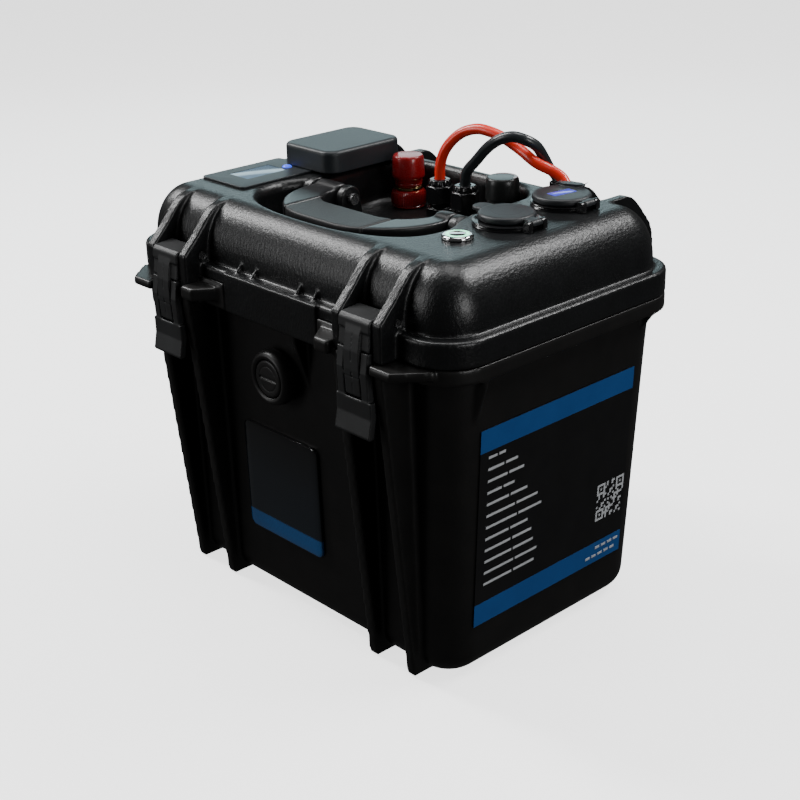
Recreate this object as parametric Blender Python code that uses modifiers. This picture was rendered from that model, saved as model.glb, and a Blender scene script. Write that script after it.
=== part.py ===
"""Portable deep cycle battery in a ribbed, latched equipment case.

The origin is the centre of the flat bottom. +Z is up, -Y is the latch side and
+X is the side that carries the data label. Named sizes are in millimetres, and
the helpers turn them into metres.
"""

import math

import bmesh
import bpy
from mathutils import Matrix, Vector

MM = 0.001
GAP = 0.3                      # running gap between separate pieces

# Case base
RIM_HALF = (150.0, 102.5)      # half width and half depth of rim and lid skirt
RIM_RADIUS = 29.0
RIM_BOTTOM = 199.7
PARTING = 209.5                # height where the lid meets the base
RIM_TOP = PARTING - 0.2
TUB_TOP_HALF = (143.1, 92.4)
TUB_FOOT_HALF = (132.8, 88.0)
TUB_RADIUS = 23.0
FOOT_RADIUS = 16.0
WALL = 3.5

# Lid
SKIRT_BOTTOM = PARTING + 0.3
SKIRT_TOP = 225.3
DOME_HALF = (143.2, 95.7)
DOME_RADIUS = 26.0
DOME_SHOULDER = (24.0, 32.0)   # how far the shoulder reaches in, and down
LID_TOP = 262.0
DOME_STEPS = 5

# Handle well sunk in the lid
WELL_HALF_WIDTH = 64.0         # beside the terminals
WELL_FRONT_HALF = 75.0         # around the handle
WELL_BACK = 69.0
WELL_BACK_RADIUS = 28.0
WELL_BOW_START = -34.0         # the bowed front starts here
WELL_BOW_DEPTH = 39.0
WELL_BOW_POWER = 2.5
WELL_BOW_STEPS = 14
WELL_FLOOR = 235.0
WELL_FILLET = 1.2
WELL_WALL = 3.0

# Ribs and latches
RIB_X = (72.5, 106.2)
RIB_THICK = 7.0
RIB_FRONT = 114.5              # distance of the rib faces in front of the centre
RIB_FOOT = 94.0
LATCH_X = sum(RIB_X) / 2
LATCH_HALF = 12.75
LATCH_PIN = (-101.0, 230.5)    # y, z
LATCH_EYE_RADIUS = 4.1
LATCH_PIN_RADIUS = 2.3
LEVER_PIVOT = (-116.5, 200.0)  # y, z
LEVER_PIVOT_RADIUS = 1.7
STRIKE_Y = (-103.0, -97.0)
STRIKE_Z = (176.0, 183.0)

# Rear hinge
HINGE = (118.0, 207.0)         # y, z
HINGE_PIN_RADIUS = 2.5
HINGE_BOSS_RADIUS = 8.5
HINGE_PIN_END = 122.0
LID_KNUCKLE_X = (81.0, 97.7)
KNUCKLE_HALF = 3.25

# Seal between the lid and the base
SEAL_HALF = (146.2, 98.7)
SEAL_WIDTH = 3.4
SEAL_RADIUS = 25.0

# Handle
HANDLE_PIVOT = (-9.0, 255.0)   # y, z
HANDLE_HALF = 62.0
HANDLE_CORNER = 49.0
HANDLE_OPENING = {-1: 40.0, 1: 49.0}        # inner face of each arm
HANDLE_INNER_CORNER = {-1: 20.0, 1: 28.0}
HANDLE_FRONT = -66.0
HANDLE_INNER_FRONT = -37.0
HANDLE_Z = (243.5, 260.5)
HANDLE_BOLT_RADIUS = 2.4
HANDLE_BOLT_SEAT = {-1: 30.7, 1: 48.2}       # face of the bolt head
LUG_INNER = (31.0, 37.0)       # ear beside the left arm
LUG_OUTER = (62.5, 68.5)
GRIP_HALF = 35.0

# Terminal row on the floor of the well
ROW_Y = 53.5
POST_X = {"red": -43.8, "black": 42.5}
GLAND_X = {"red": -13.8, "black": 9.5}
POST_LIFT = 4.0
LEAD_RADIUS = 3.5

# Right plateau
BUTTON_AT = (94.7, -39.8)
SOCKET_AT = (95.0, 0.8)
SOCKET_RADIUS = 20.5
SOCKET_CAP_RADIUS = 17.2
USB_AT = (92.5, 52.3)
USB_RADIUS = 19.2
USB_CAP_RADIUS = 18.2
FLANGE_TOP = 265.0
CAP_TOP = 269.6
CAP_HINGE_Z = 266.2
CAP_HINGE_OFFSET = 1.6         # hinge axis beyond the edge of the flange
PLUG_LOW = (63.0, 71.8, 262.3)
PLUG_HIGH = (86.0, 84.0, 267.2)
PLUG_STEM = ((66.0, 73.0), (84.0, 80.5))
PLUG_ENTRY = {"red": (76.0, 75.0), "black": (66.0, 79.5)}   # x, y of each bore at the top

# Left plateau
DISPLAY_X = (-123.0, -79.0)
DISPLAY_Y = (-59.0, 6.5)
DISPLAY_TOP = 263.5
SCREEN_X = (-112.6, -93.5)
SCREEN_Y = (-43.5, -11.0)
DISPLAY_BUTTON_AT = (-99.0, -6.0)
BUTTON_RADIUS = 3.3
COVER_LOW = (-109.5, -2.4, 263.8)
COVER_HIGH = (-58.7, 63.5, 278.4)
COVER_WALL = 2.5
COVER_HINGE = (-112.6, 268.6)  # x, z
OUTLET_EARS = ((13.0, 19.0), (49.0, 55.0))
OUTLET_KNUCKLE = (19.4, 48.6)

# Front face fittings
VALVE_AT = (-8.0, 164.5)       # x, z
BADGE_X = (-49.0, 23.5)
BADGE_Z = (46.0, 123.0)
LABEL_Y = (-69.0, 67.0)
LABEL_Z = (35.0, 166.0)

# Cells
CELL_SIZE = (50.0, 160.0, 118.0)
CELL_PITCH = 50.6
CELL_FOOT = 8.2
TERMINAL_Y = 55.0

PARTS = None
CUTTERS = None


# ---------------------------------------------------------------- scene set-up

def clear_scene():
    for thing in list(bpy.data.objects):
        bpy.data.objects.remove(thing, do_unlink=True)


def new_collection(name):
    collection = bpy.data.collections.new(name)
    bpy.context.scene.collection.children.link(collection)
    return collection


def material(name, colour, roughness, metallic=0.0):
    mat = bpy.data.materials.new(name)
    mat.use_nodes = True
    shader = mat.node_tree.nodes["Principled BSDF"]
    shader.inputs["Base Color"].default_value = (*colour, 1.0)
    shader.inputs["Roughness"].default_value = roughness
    shader.inputs["Metallic"].default_value = metallic
    return mat


# --------------------------------------------------------------- mesh building

def metres(point):
    return Vector(point) * MM


def object_from_bmesh(name, bm):
    bmesh.ops.recalc_face_normals(bm, faces=bm.faces)
    mesh = bpy.data.meshes.new(name)
    bm.to_mesh(mesh)
    bm.free()
    piece = bpy.data.objects.new(name, mesh)
    PARTS.objects.link(piece)
    return piece


def box_bmesh(low, high, upright=0.0, top=0.0, bottom=0.0, steps=4, top_stretch=1.0):
    """A box with rounded upright edges and rounded top or bottom edges.

    top_stretch makes the top rounding taller than it is wide.
    """
    low, high = Vector(low), Vector(high)
    size = high - low
    size.z /= top_stretch
    bm = bmesh.new()
    bmesh.ops.create_cube(bm, size=1.0)
    bmesh.ops.scale(bm, vec=size, verts=bm.verts)
    bmesh.ops.translate(bm, vec=(0, 0, size.z / 2), verts=bm.verts)
    if upright:
        edges = [e for e in bm.edges if abs(e.verts[0].co.z - e.verts[1].co.z) > 1e-6]
        bmesh.ops.bevel(bm, geom=edges, offset=upright, segments=steps, profile=0.5, affect="EDGES")
    for level, radius in ((size.z, top), (0.0, bottom)):
        if radius:
            edges = [e for e in bm.edges if all(abs(v.co.z - level) < 1e-6 for v in e.verts)
                     and len(e.link_faces) == 2]
            bmesh.ops.bevel(bm, geom=edges, offset=radius, segments=steps, profile=0.5, affect="EDGES")
    bmesh.ops.scale(bm, vec=(MM, MM, MM * top_stretch), verts=bm.verts)
    centre = (low + high) / 2
    bmesh.ops.translate(bm, vec=metres((centre.x, centre.y, low.z)), verts=bm.verts)
    return bm


def box(name, low, high, **rounding):
    return object_from_bmesh(name, box_bmesh(low, high, **rounding))


def rod_bmesh(start, end, radius, sides=16, end_radius=None):
    start, end = metres(start), metres(end)
    span = end - start
    bm = bmesh.new()
    tip = radius if end_radius is None else end_radius
    bmesh.ops.create_cone(bm, cap_ends=True, segments=sides, radius1=radius * MM,
                          radius2=tip * MM, depth=span.length)
    turn = Vector((0, 0, 1)).rotation_difference(span.normalized()).to_matrix().to_4x4()
    bmesh.ops.transform(bm, matrix=Matrix.Translation((start + end) / 2) @ turn, verts=bm.verts)
    return bm


def rod(name, start, end, radius, sides=16, end_radius=None):
    return object_from_bmesh(name, rod_bmesh(start, end, radius, sides, end_radius))


AXES = {
    "z": Matrix.Identity(4),                                     # outline in x, y
    "x": Matrix(((0, 0, 1, 0), (1, 0, 0, 0), (0, 1, 0, 0), (0, 0, 0, 1))),   # outline in y, z
    "y": Matrix(((1, 0, 0, 0), (0, 0, -1, 0), (0, 1, 0, 0), (0, 0, 0, 1))),  # outline in x, z
}


def prism(name, outlines, low, high, axis="z"):
    """Flat closed outlines, extruded along an axis and turned into a mesh."""
    curve = bpy.data.curves.new(name, "CURVE")
    curve.dimensions = "2D"
    curve.fill_mode = "BOTH"
    curve.extrude = (high - low) / 2 * MM
    for outline in outlines:
        spline = curve.splines.new("POLY")
        spline.points.add(len(outline) - 1)
        for point, (u, v) in zip(spline.points, outline):
            point.co = (u * MM, v * MM, 0, 1)
        spline.use_cyclic_u = True
    shape = bpy.data.objects.new(name + "_outline", curve)
    middle = (low + high) / 2 * MM
    direction = -1 if axis == "y" else 1
    shape.matrix_world = AXES[axis] @ Matrix.Translation((0, 0, direction * middle))
    PARTS.objects.link(shape)
    bpy.context.view_layer.update()
    evaluated = shape.evaluated_get(bpy.context.evaluated_depsgraph_get())
    mesh = bpy.data.meshes.new_from_object(evaluated)
    matrix = shape.matrix_world.copy()
    bpy.data.objects.remove(shape, do_unlink=True)
    bm = bmesh.new()
    bm.from_mesh(mesh)
    bpy.data.meshes.remove(mesh)
    bmesh.ops.remove_doubles(bm, verts=bm.verts, dist=1e-6)
    bmesh.ops.transform(bm, matrix=matrix, verts=bm.verts)
    return object_from_bmesh(name, bm)


def turned(name, profile, centre, axis="z", steps=16):
    """A profile of radius and height, given from the top down, spun about an axis."""
    bm = bmesh.new()
    closed = profile[0] == profile[-1]
    points = [bm.verts.new((r * MM, 0, h * MM)) for r, h in (profile[:-1] if closed else profile)]
    for first, second in zip(points, points[1:]):
        bm.edges.new((first, second))
    if closed:
        bm.edges.new((points[-1], points[0]))
    mesh = bpy.data.meshes.new(name)
    bm.to_mesh(mesh)
    bm.free()
    piece = bpy.data.objects.new(name, mesh)
    PARTS.objects.link(piece)
    piece.location = metres(centre)
    if axis == "front":
        piece.rotation_euler = (math.radians(90), 0, 0)
    screw = piece.modifiers.new("turned", "SCREW")
    screw.steps = steps
    screw.render_steps = steps
    screw.merge_threshold = 0.00001
    screw.use_merge_vertices = True
    screw.use_smooth_shade = True
    return piece


def arc(centre, radius, start, end, steps):
    """Points along an arc, angles in degrees."""
    points = []
    for i in range(steps + 1):
        angle = math.radians(start + (end - start) * i / steps)
        points.append((centre[0] + radius * math.cos(angle), centre[1] + radius * math.sin(angle)))
    return points


def rounded_outline(low, high, radius, steps=4):
    (x0, y0), (x1, y1) = low, high
    return (arc((x1 - radius, y0 + radius), radius, -90, 0, steps)
            + arc((x1 - radius, y1 - radius), radius, 0, 90, steps)
            + arc((x0 + radius, y1 - radius), radius, 90, 180, steps)
            + arc((x0 + radius, y0 + radius), radius, 180, 270, steps))


def hidden(piece):
    """Keep a shape as a tool for Boolean modifiers only."""
    for collection in list(piece.users_collection):
        collection.objects.unlink(piece)
    CUTTERS.objects.link(piece)
    piece.hide_render = True
    piece.display_type = "WIRE"
    return piece


def combine(piece, tool, operation):
    modifier = piece.modifiers.new(operation.lower(), "BOOLEAN")
    modifier.operation = operation
    modifier.object = hidden(tool)
    return piece


def cut(piece, tool):
    return combine(piece, tool, "DIFFERENCE")


def fuse(piece, tool):
    return combine(piece, tool, "UNION")


def merged(name, pieces):
    """Several simple shapes in one object, used as one Boolean tool."""
    bm = bmesh.new()
    for piece in pieces:
        bm.from_mesh(piece.data)
        bpy.data.objects.remove(piece, do_unlink=True)
    mesh = bpy.data.meshes.new(name)
    bm.to_mesh(mesh)
    bm.free()
    piece = bpy.data.objects.new(name, mesh)
    PARTS.objects.link(piece)
    return piece


def soften(piece, width, segments=2, angle=40):
    bevel = piece.modifiers.new("rounded edges", "BEVEL")
    bevel.width = width * MM
    bevel.segments = segments
    bevel.limit_method = "ANGLE"
    bevel.angle_limit = math.radians(angle)
    return piece


def finish_piece(piece, mat, origin=None):
    """Give the piece its material and move its origin to a useful point."""
    if origin is not None:
        shift = metres(origin) - piece.location
        turn = piece.rotation_euler.to_matrix().to_4x4()
        piece.data.transform(Matrix.Translation(-(turn.inverted() @ shift)))
        piece.location = metres(origin)
    piece.data.materials.clear()
    piece.data.materials.append(mat)
    return piece


# ------------------------------------------------------------------- case base

def tub_shell():
    """Drafted open tub: a cube with its foot narrowed, rounded, and no top face."""
    bm = bmesh.new()
    bmesh.ops.create_cube(bm, size=1.0)
    for vert in bm.verts:
        half = TUB_TOP_HALF if vert.co.z > 0 else TUB_FOOT_HALF
        vert.co.x = math.copysign(half[0], vert.co.x)
        vert.co.y = math.copysign(half[1], vert.co.y)
        vert.co.z = RIM_TOP if vert.co.z > 0 else 0.0
    upright = [e for e in bm.edges if abs(e.verts[0].co.z - e.verts[1].co.z) > 1]
    bmesh.ops.bevel(bm, geom=upright, offset=TUB_RADIUS, segments=5, profile=0.5, affect="EDGES")
    foot = [e for e in bm.edges if all(v.co.z < 1e-4 for v in e.verts)]
    bmesh.ops.bevel(bm, geom=foot, offset=FOOT_RADIUS, segments=4, profile=0.5, affect="EDGES")
    lid_face = max(bm.faces, key=lambda f: f.calc_center_median().z)
    bmesh.ops.delete(bm, geom=[lid_face], context="FACES_ONLY")
    bmesh.ops.scale(bm, vec=(MM, MM, MM), verts=bm.verts)
    tub = object_from_bmesh("case_base", bm)
    shell = tub.modifiers.new("wall", "SOLIDIFY")
    shell.thickness = WALL * MM
    shell.offset = -1
    shell.use_even_offset = True
    return tub


def rim_ring():
    inner = (TUB_TOP_HALF[0] - WALL / 2, TUB_TOP_HALF[1] - WALL / 2)
    outlines = [rounded_outline((-RIM_HALF[0], -RIM_HALF[1]), RIM_HALF, RIM_RADIUS, 5),
                rounded_outline((-inner[0], -inner[1]), inner, TUB_RADIUS - WALL / 2, 5)]
    return prism("rim_ring", outlines, RIM_BOTTOM, RIM_TOP)


def base_rib_outline():
    return [(-90.6, RIM_TOP), (-RIB_FRONT, RIM_TOP), (-RIB_FRONT, RIM_BOTTOM),
            (-RIB_FOOT, 0.0), (-76.0, 0.0), (-86.2, 14.0)]


def hinge_rib_outline():
    """Rear rib of the base, rounded off around the hinge pin."""
    boss = arc(HINGE, HINGE_BOSS_RADIUS, -20, 160, 7)
    return ([(90.6, RIM_TOP), (86.2, 14.0), (76.0, 0.0), (RIB_FOOT, 0.0)] + boss
            + [(104.0, RIM_TOP)])


def strike_bar(side):
    x0, x1 = sorted((side * (RIB_X[0] + 2), side * (RIB_X[1] - 2)))
    return box("strike", (x0, STRIKE_Y[0], STRIKE_Z[0]), (x1, STRIKE_Y[1], STRIKE_Z[1]))


def latch_guards(side):
    """Wings on both sides of a latch, and the apron strip that carries the inner one."""
    outer = [(side * x, y) for x, y in
             ((104.0, -101.0), (104.0, -119.3), (121.0, -119.3), (137.0, -100.5), (132.0, -95.0))]
    inner = [(side * x, y) for x, y in
             ((46.5, -103.9), (58.5, -119.3), (68.6, -119.3), (68.6, -103.9))]
    x0, x1 = sorted((side * 44.2, side * 68.6))
    pieces = [prism("guard_outer", [outer], 203.6, RIM_TOP),
              prism("guard_inner", [inner], 206.5, 214.8)]
    apron = box("apron_up", (x0, -104.8, 208.0), (x1, -102.8, 218.4))
    foot = box("apron_foot", (x0, -104.8, 200.4), (x1, -100.0, 208.9))
    return pieces, apron, foot


def front_gusset(x):
    return prism("gusset", [[(-91.0, 205.0), (-102.0, 205.0), (-102.0, 196.0), (-91.6, 157.0)]],
                 x - 1.5, x + 1.5, "x")


def side_gusset(side):
    """Short upright gusset under the rim on the label side and its opposite."""
    outline = [(side * 141.5, 204.0), (side * 149.5, 204.0), (side * 149.0, 196.0), (side * 140.2, 165.0)]
    return prism("side_gusset", [outline], -74.0, -71.0, "y")


def build_case_base(mat):
    base = tub_shell()
    fuse(base, rim_ring())
    ribs = []
    for side in (-1, 1):
        for x in RIB_X:
            low, high = sorted((side * (x - RIB_THICK / 2), side * (x + RIB_THICK / 2)))
            ribs.append(prism("rib", [base_rib_outline()], low, high, "x"))
            ribs.append(prism("hinge_rib", [hinge_rib_outline()], low, high, "x"))
    fuse(base, merged("base_ribs", ribs))
    fuse(base, merged("strikes", [strike_bar(-1), strike_bar(1)]))
    wings, aprons, feet = [], [], []
    for side in (-1, 1):
        pieces, apron, foot = latch_guards(side)
        wings += pieces
        aprons.append(apron)
        feet.append(foot)
    fuse(base, merged("apron_feet", feet))
    fuse(base, merged("aprons", aprons))
    fuse(base, merged("wings", wings))
    fuse(base, merged("gussets", [front_gusset(18.0), side_gusset(1), side_gusset(-1)]))
    pin = [rod("hole", (side * 60, *HINGE), (side * (HINGE_PIN_END + 3), *HINGE), HINGE_PIN_RADIUS + 0.05, 16)
           for side in (-1, 1)]
    cut(base, merged("base_pin_holes", pin))
    cut(base, rod("valve_hole", (VALVE_AT[0], -100, VALVE_AT[1]), (VALVE_AT[0], -80, VALVE_AT[1]), 9.3, 20))
    return finish_piece(base, mat)


# ------------------------------------------------------------------------- lid

def well_outline(margin=0.0):
    """Plan of the well: narrow beside the terminals, wide and bowed around the handle."""
    half = WELL_HALF_WIDTH + margin
    front = WELL_FRONT_HALF + margin
    radius = WELL_BACK_RADIUS + margin
    back = WELL_BACK + margin
    step = [(half, 0.0), (half + 1.5, -8.0), (half + 5.5, -16.0), (front - 1.5, -25.0)]
    points = arc((half - radius, back - radius), radius, 0, 90, 5)
    points += [(-x, y) for x, y in points[::-1]]
    points += [(-x, y) for x, y in step]
    for i in range(WELL_BOW_STEPS + 1):
        angle = math.pi * i / WELL_BOW_STEPS
        across, along = math.cos(angle), math.sin(angle)
        x = -front * math.copysign(abs(across) ** (2 / WELL_BOW_POWER), across)
        y = WELL_BOW_START - (WELL_BOW_DEPTH + margin) * along ** (2 / WELL_BOW_POWER)
        points.append((x, y))
    return points + step[::-1]


def well_tool(name, margin, floor, fillet):
    tool = prism(name, [well_outline(margin)], floor, 300.0)
    bm = bmesh.new()
    bm.from_mesh(tool.data)
    level = floor * MM + 1e-6
    edges = [e for e in bm.edges if all(v.co.z < level for v in e.verts) and
             sum(1 for f in e.link_faces if abs(f.normal.z) < 0.5) == 1]
    bmesh.ops.bevel(bm, geom=edges, offset=fillet * MM, segments=2, profile=0.5, affect="EDGES")
    bm.to_mesh(tool.data)
    bm.free()
    return tool


def lid_front_rib_outline():
    return [(-61.0, 254.0), (-61.5, 261.8), (-82.0, 261.0), (-89.7, 258.2), (-95.1, 252.9),
            (-103.0, 243.7), (-RIB_FRONT, 232.0), (-RIB_FRONT, SKIRT_BOTTOM), (-95.0, SKIRT_BOTTOM),
            (-88.0, 232.0)]


def lid_rear_rib_outline():
    """Rib down the back of the lid, hollowed out around the knuckle of the base."""
    hollow = arc(HINGE, HINGE_BOSS_RADIUS + 0.8, 160, 70, 5)
    return ([(66.0, 254.0), (88.0, 232.0), (95.0, SKIRT_BOTTOM + 1), (104.0, SKIRT_BOTTOM + 1)]
            + hollow
            + [(122.4, 218.0), (121.8, 227.5), (118.8, 240.0), (109.9, 249.7), (101.4, 258.9),
               (94.0, 261.7), (68.0, 261.7)])


def lid_knuckle_outline():
    """Low web between two ribs that ends in a knuckle on the hinge pin."""
    boss = arc(HINGE, HINGE_BOSS_RADIUS, 10, -150, 6)
    return ([(80.0, 245.0), (88.0, 232.0), (95.0, SKIRT_BOTTOM + 1), (104.0, SKIRT_BOTTOM + 1)]
            + boss[::-1] + [(127.0, 214.0), (122.0, 224.0), (108.0, 240.0), (90.0, 250.0)])


def ledge_fin(x):
    return prism("fin", [[(-94.0, 224.0), (-101.0, 224.0), (-101.0, 226.2), (-94.6, 232.5)]],
                 x - 1.0, x + 1.0, "x")


def handle_lug(x0, x1):
    """Ear that stands on the floor of the well and holds the handle's bolt."""
    y, z = HANDLE_PIVOT
    outline = [(y - 11, WELL_FLOOR - 1)] + [(y + 11, WELL_FLOOR - 1)] + arc((y, z), 8.0, 0, 180, 6)
    return prism("lug", [outline], x0, x1, "x")


def well_floor_hole(x, radius):
    return rod("hole", (x, ROW_Y, 225), (x, ROW_Y, 240), radius, 16)


def build_lid_shell(mat):
    half_x, half_y = DOME_HALF
    stretch = DOME_SHOULDER[1] / DOME_SHOULDER[0]
    lid = box("lid_shell", (-half_x, -half_y, 215.0), (half_x, half_y, LID_TOP), upright=DOME_RADIUS,
              top=DOME_SHOULDER[0], steps=DOME_STEPS, top_stretch=stretch)
    skirt = box("skirt", (-RIM_HALF[0], -RIM_HALF[1], SKIRT_BOTTOM), (*RIM_HALF, SKIRT_TOP),
                upright=RIM_RADIUS, steps=5)
    fuse(lid, skirt)
    ribs = []
    for side in (-1, 1):
        for x in RIB_X:
            low, high = sorted((side * (x - RIB_THICK / 2), side * (x + RIB_THICK / 2)))
            ribs.append(prism("rib", [lid_front_rib_outline()], low, high, "x"))
            ribs.append(prism("rear_rib", [lid_rear_rib_outline()], low, high, "x"))
        for x in LID_KNUCKLE_X:
            low, high = sorted((side * (x - KNUCKLE_HALF), side * (x + KNUCKLE_HALF)))
            ribs.append(prism("hinge_rib", [lid_knuckle_outline()], low, high, "x"))
    ribs += [ledge_fin(x) for x in (-36, -21, 21, 36)]
    fuse(lid, merged("lid_ribs", ribs))
    fuse(lid, box("pad", (-43.6, -104.8, SKIRT_BOTTOM), (43.6, -100.0, SKIRT_TOP)))
    fuse(lid, box("pad_drop", (-43.6, -104.8, 200.4), (43.6, -102.8, 212.0)))
    inner = box("lid_cavity", (-half_x + WALL, -half_y + WALL, 190.0),
                (half_x - WALL, half_y - WALL, LID_TOP - WALL), upright=DOME_RADIUS - WALL,
                top=DOME_SHOULDER[0] - WALL, steps=DOME_STEPS, top_stretch=stretch)
    cut(inner, well_tool("well_tray", WELL_WALL, WELL_FLOOR - WELL_WALL, WELL_FILLET + 2))
    cut(lid, inner)
    cut(lid, well_tool("well", 0.0, WELL_FLOOR, WELL_FILLET))
    lugs = [handle_lug(-LUG_OUTER[1], -LUG_OUTER[0]), handle_lug(-LUG_INNER[1], -LUG_INNER[0]),
            handle_lug(*LUG_OUTER)]
    fuse(lid, merged("lugs", lugs))
    cut(lid, lid_holes())
    cut(lid, lid_pin_holes())
    cut(lid, seal_groove())
    return finish_piece(lid, mat)


def lid_holes():
    """Openings for everything that is fitted through the lid."""
    holes = [well_floor_hole(x, 4.3) for x in POST_X.values()]
    holes += [well_floor_hole(x, 6.3) for x in GLAND_X.values()]
    for (x, y), radius in ((BUTTON_AT, 8.3), (SOCKET_AT, 14.3), (USB_AT, 14.3)):
        holes.append(rod("hole", (x, y, 250), (x, y, 270), radius, 24))
    holes.append(box("hole", (DISPLAY_X[0] + 6, DISPLAY_Y[0] + 7, 250), (DISPLAY_X[1] - 6, 0.0, 270)))
    holes.append(box("hole", (-101.0, 22.0, 250), (-82.0, 48.0, 270)))
    (x0, y0), (x1, y1) = PLUG_STEM
    holes.append(box("hole", (x0 - GAP, y0 - GAP, 240), (x1 + GAP, y1 + GAP, 270)))
    return merged("lid_openings", holes)


def lid_pin_holes():
    holes = []
    for side in (-1, 1):
        holes.append(rod("hole", (side * 60, *LATCH_PIN), (side * 116, *LATCH_PIN), LATCH_PIN_RADIUS + 0.05))
        holes.append(rod("hole", (side * 60, *HINGE), (side * (HINGE_PIN_END + 3), *HINGE), HINGE_PIN_RADIUS + 0.05))
        holes.append(rod("hole", (side * 28, *HANDLE_PIVOT), (side * 71, *HANDLE_PIVOT),
                         HANDLE_BOLT_RADIUS + 0.05))
    return merged("lid_pin_openings", holes)


def seal_outlines(spread):
    outlines = []
    for inset in (-SEAL_WIDTH / 2 - spread, SEAL_WIDTH / 2 + spread):
        half = (SEAL_HALF[0] + inset, SEAL_HALF[1] + inset)
        outlines.append(rounded_outline((-half[0], -half[1]), half, SEAL_RADIUS + inset, 5))
    return outlines


def seal_groove():
    return prism("seal_groove", seal_outlines(0.3), SKIRT_BOTTOM - 5, SKIRT_BOTTOM + 3.3)


def build_lid_seal(mat):
    seal = prism("lid_seal", seal_outlines(0.0), RIM_TOP + GAP, SKIRT_BOTTOM + 3.0)
    return finish_piece(seal, mat)


# --------------------------------------------------------------------- latches

def build_latch_link(name, side, mat):
    """Centre band of a latch, wide at the top where it turns on the lid's pin."""
    centre = side * LATCH_X
    y, z = LATCH_PIN
    eye = arc((y, z), LATCH_EYE_RADIUS, 90, -90, 6)
    head = eye + [(-108.0, 226.4), (-111.3, 225.8), (-115.9, 225.8), (-115.6, 231.5), (-113.6, 233.6)]
    band = [(-112.0, 232.5), (-114.9, 232.5), (-116.9, 224.0), (-118.4, 214.0), (-118.6, 203.0),
            (-117.6, 187.6), (-113.6, 187.6), (-114.2, 203.0), (-113.8, 214.0), (-111.3, 226.5)]
    link = prism(name, [head], centre - LATCH_HALF, centre + LATCH_HALF, "x")
    web = [(-112.4, 227.0), (-115.0, 227.0), (-116.4, 215.4), (-114.9, 215.4)]
    fuse(link, prism(name + "_web", [web], centre - LATCH_HALF + 0.3, centre + LATCH_HALF - 0.3, "x"))
    fuse(link, prism(name + "_band", [band], centre - 6.3, centre + 6.3, "x"))
    holes = [rod("hole", (centre - 20, *LATCH_PIN), (centre + 20, *LATCH_PIN), LATCH_PIN_RADIUS + 0.1),
             rod("hole", (centre - 20, *LEVER_PIVOT), (centre + 20, *LEVER_PIVOT), LEVER_PIVOT_RADIUS + 0.1)]
    cut(link, merged(name + "_holes", holes))
    return finish_piece(link, mat, (centre, *LATCH_PIN))


def build_latch_lever(name, side, mat):
    """Grip with two cheeks beside the link, and a catch nose facing the strike."""
    centre = side * LATCH_X
    cheek = [(-117.0, 214.6), (-118.5, 203.0), (-117.5, 185.9), (-112.8, 185.9), (-113.4, 203.0),
             (-112.8, 214.6)]
    grip = [(-117.9, 186.0), (-117.6, 176.0), (-119.8, 165.0), (-118.8, 163.5), (-115.6, 164.2),
            (-113.4, 176.0), (-113.7, 186.0)]
    nose = [(-115.0, 184.6), (-115.0, 177.5), (-110.0, 177.0), (-104.0, 178.5), (-103.5, 181.0),
            (-109.0, 184.6)]
    lever = prism(name, [grip], centre - 14.4, centre + 14.4, "x")
    for sign in (-1, 1):
        low, high = sorted((centre + sign * 6.9, centre + sign * 12.6))
        fuse(lever, prism(name + "_cheek", [cheek], low, high, "x"))
    fuse(lever, prism(name + "_nose", [nose], centre - 10, centre + 10, "x"))
    fuse(lever, rod(name + "_trunnion", (centre - 9, *LEVER_PIVOT), (centre + 9, *LEVER_PIVOT),
                    LEVER_PIVOT_RADIUS, 12))
    return finish_piece(lever, mat, (centre, *LEVER_PIVOT))


# ---------------------------------------------------------------------- handle

def handle_outline():
    """U-shaped plan of the handle, open towards the back. The left arm is the broader one."""
    y = HANDLE_PIVOT[0]
    middle = (HANDLE_HALF - HANDLE_CORNER, HANDLE_FRONT + HANDLE_CORNER)
    outer = arc(middle, HANDLE_CORNER, 0, -90, 8)
    outer_left = arc((-middle[0], middle[1]), HANDLE_CORNER, -90, -180, 8)
    left, right = HANDLE_INNER_CORNER[-1], HANDLE_INNER_CORNER[1]
    inner_left = arc((-HANDLE_OPENING[-1] + left, HANDLE_INNER_FRONT + left), left, 180, 270, 5)
    inner = arc((HANDLE_OPENING[1] - right, HANDLE_INNER_FRONT + right), right, 270, 359, 6)
    return ([(HANDLE_HALF - 1, y)] + outer + outer_left
            + [(-HANDLE_HALF + 1, y), (-HANDLE_OPENING[-1], y)] + inner_left + inner
            + [(HANDLE_OPENING[1], y)])


def handle_boss(side):
    low, high = sorted((side * HANDLE_OPENING[side], side * (HANDLE_HALF - 1)))
    return rod("boss", (low, *HANDLE_PIVOT), (high, *HANDLE_PIVOT), 8.2, 20)


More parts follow.
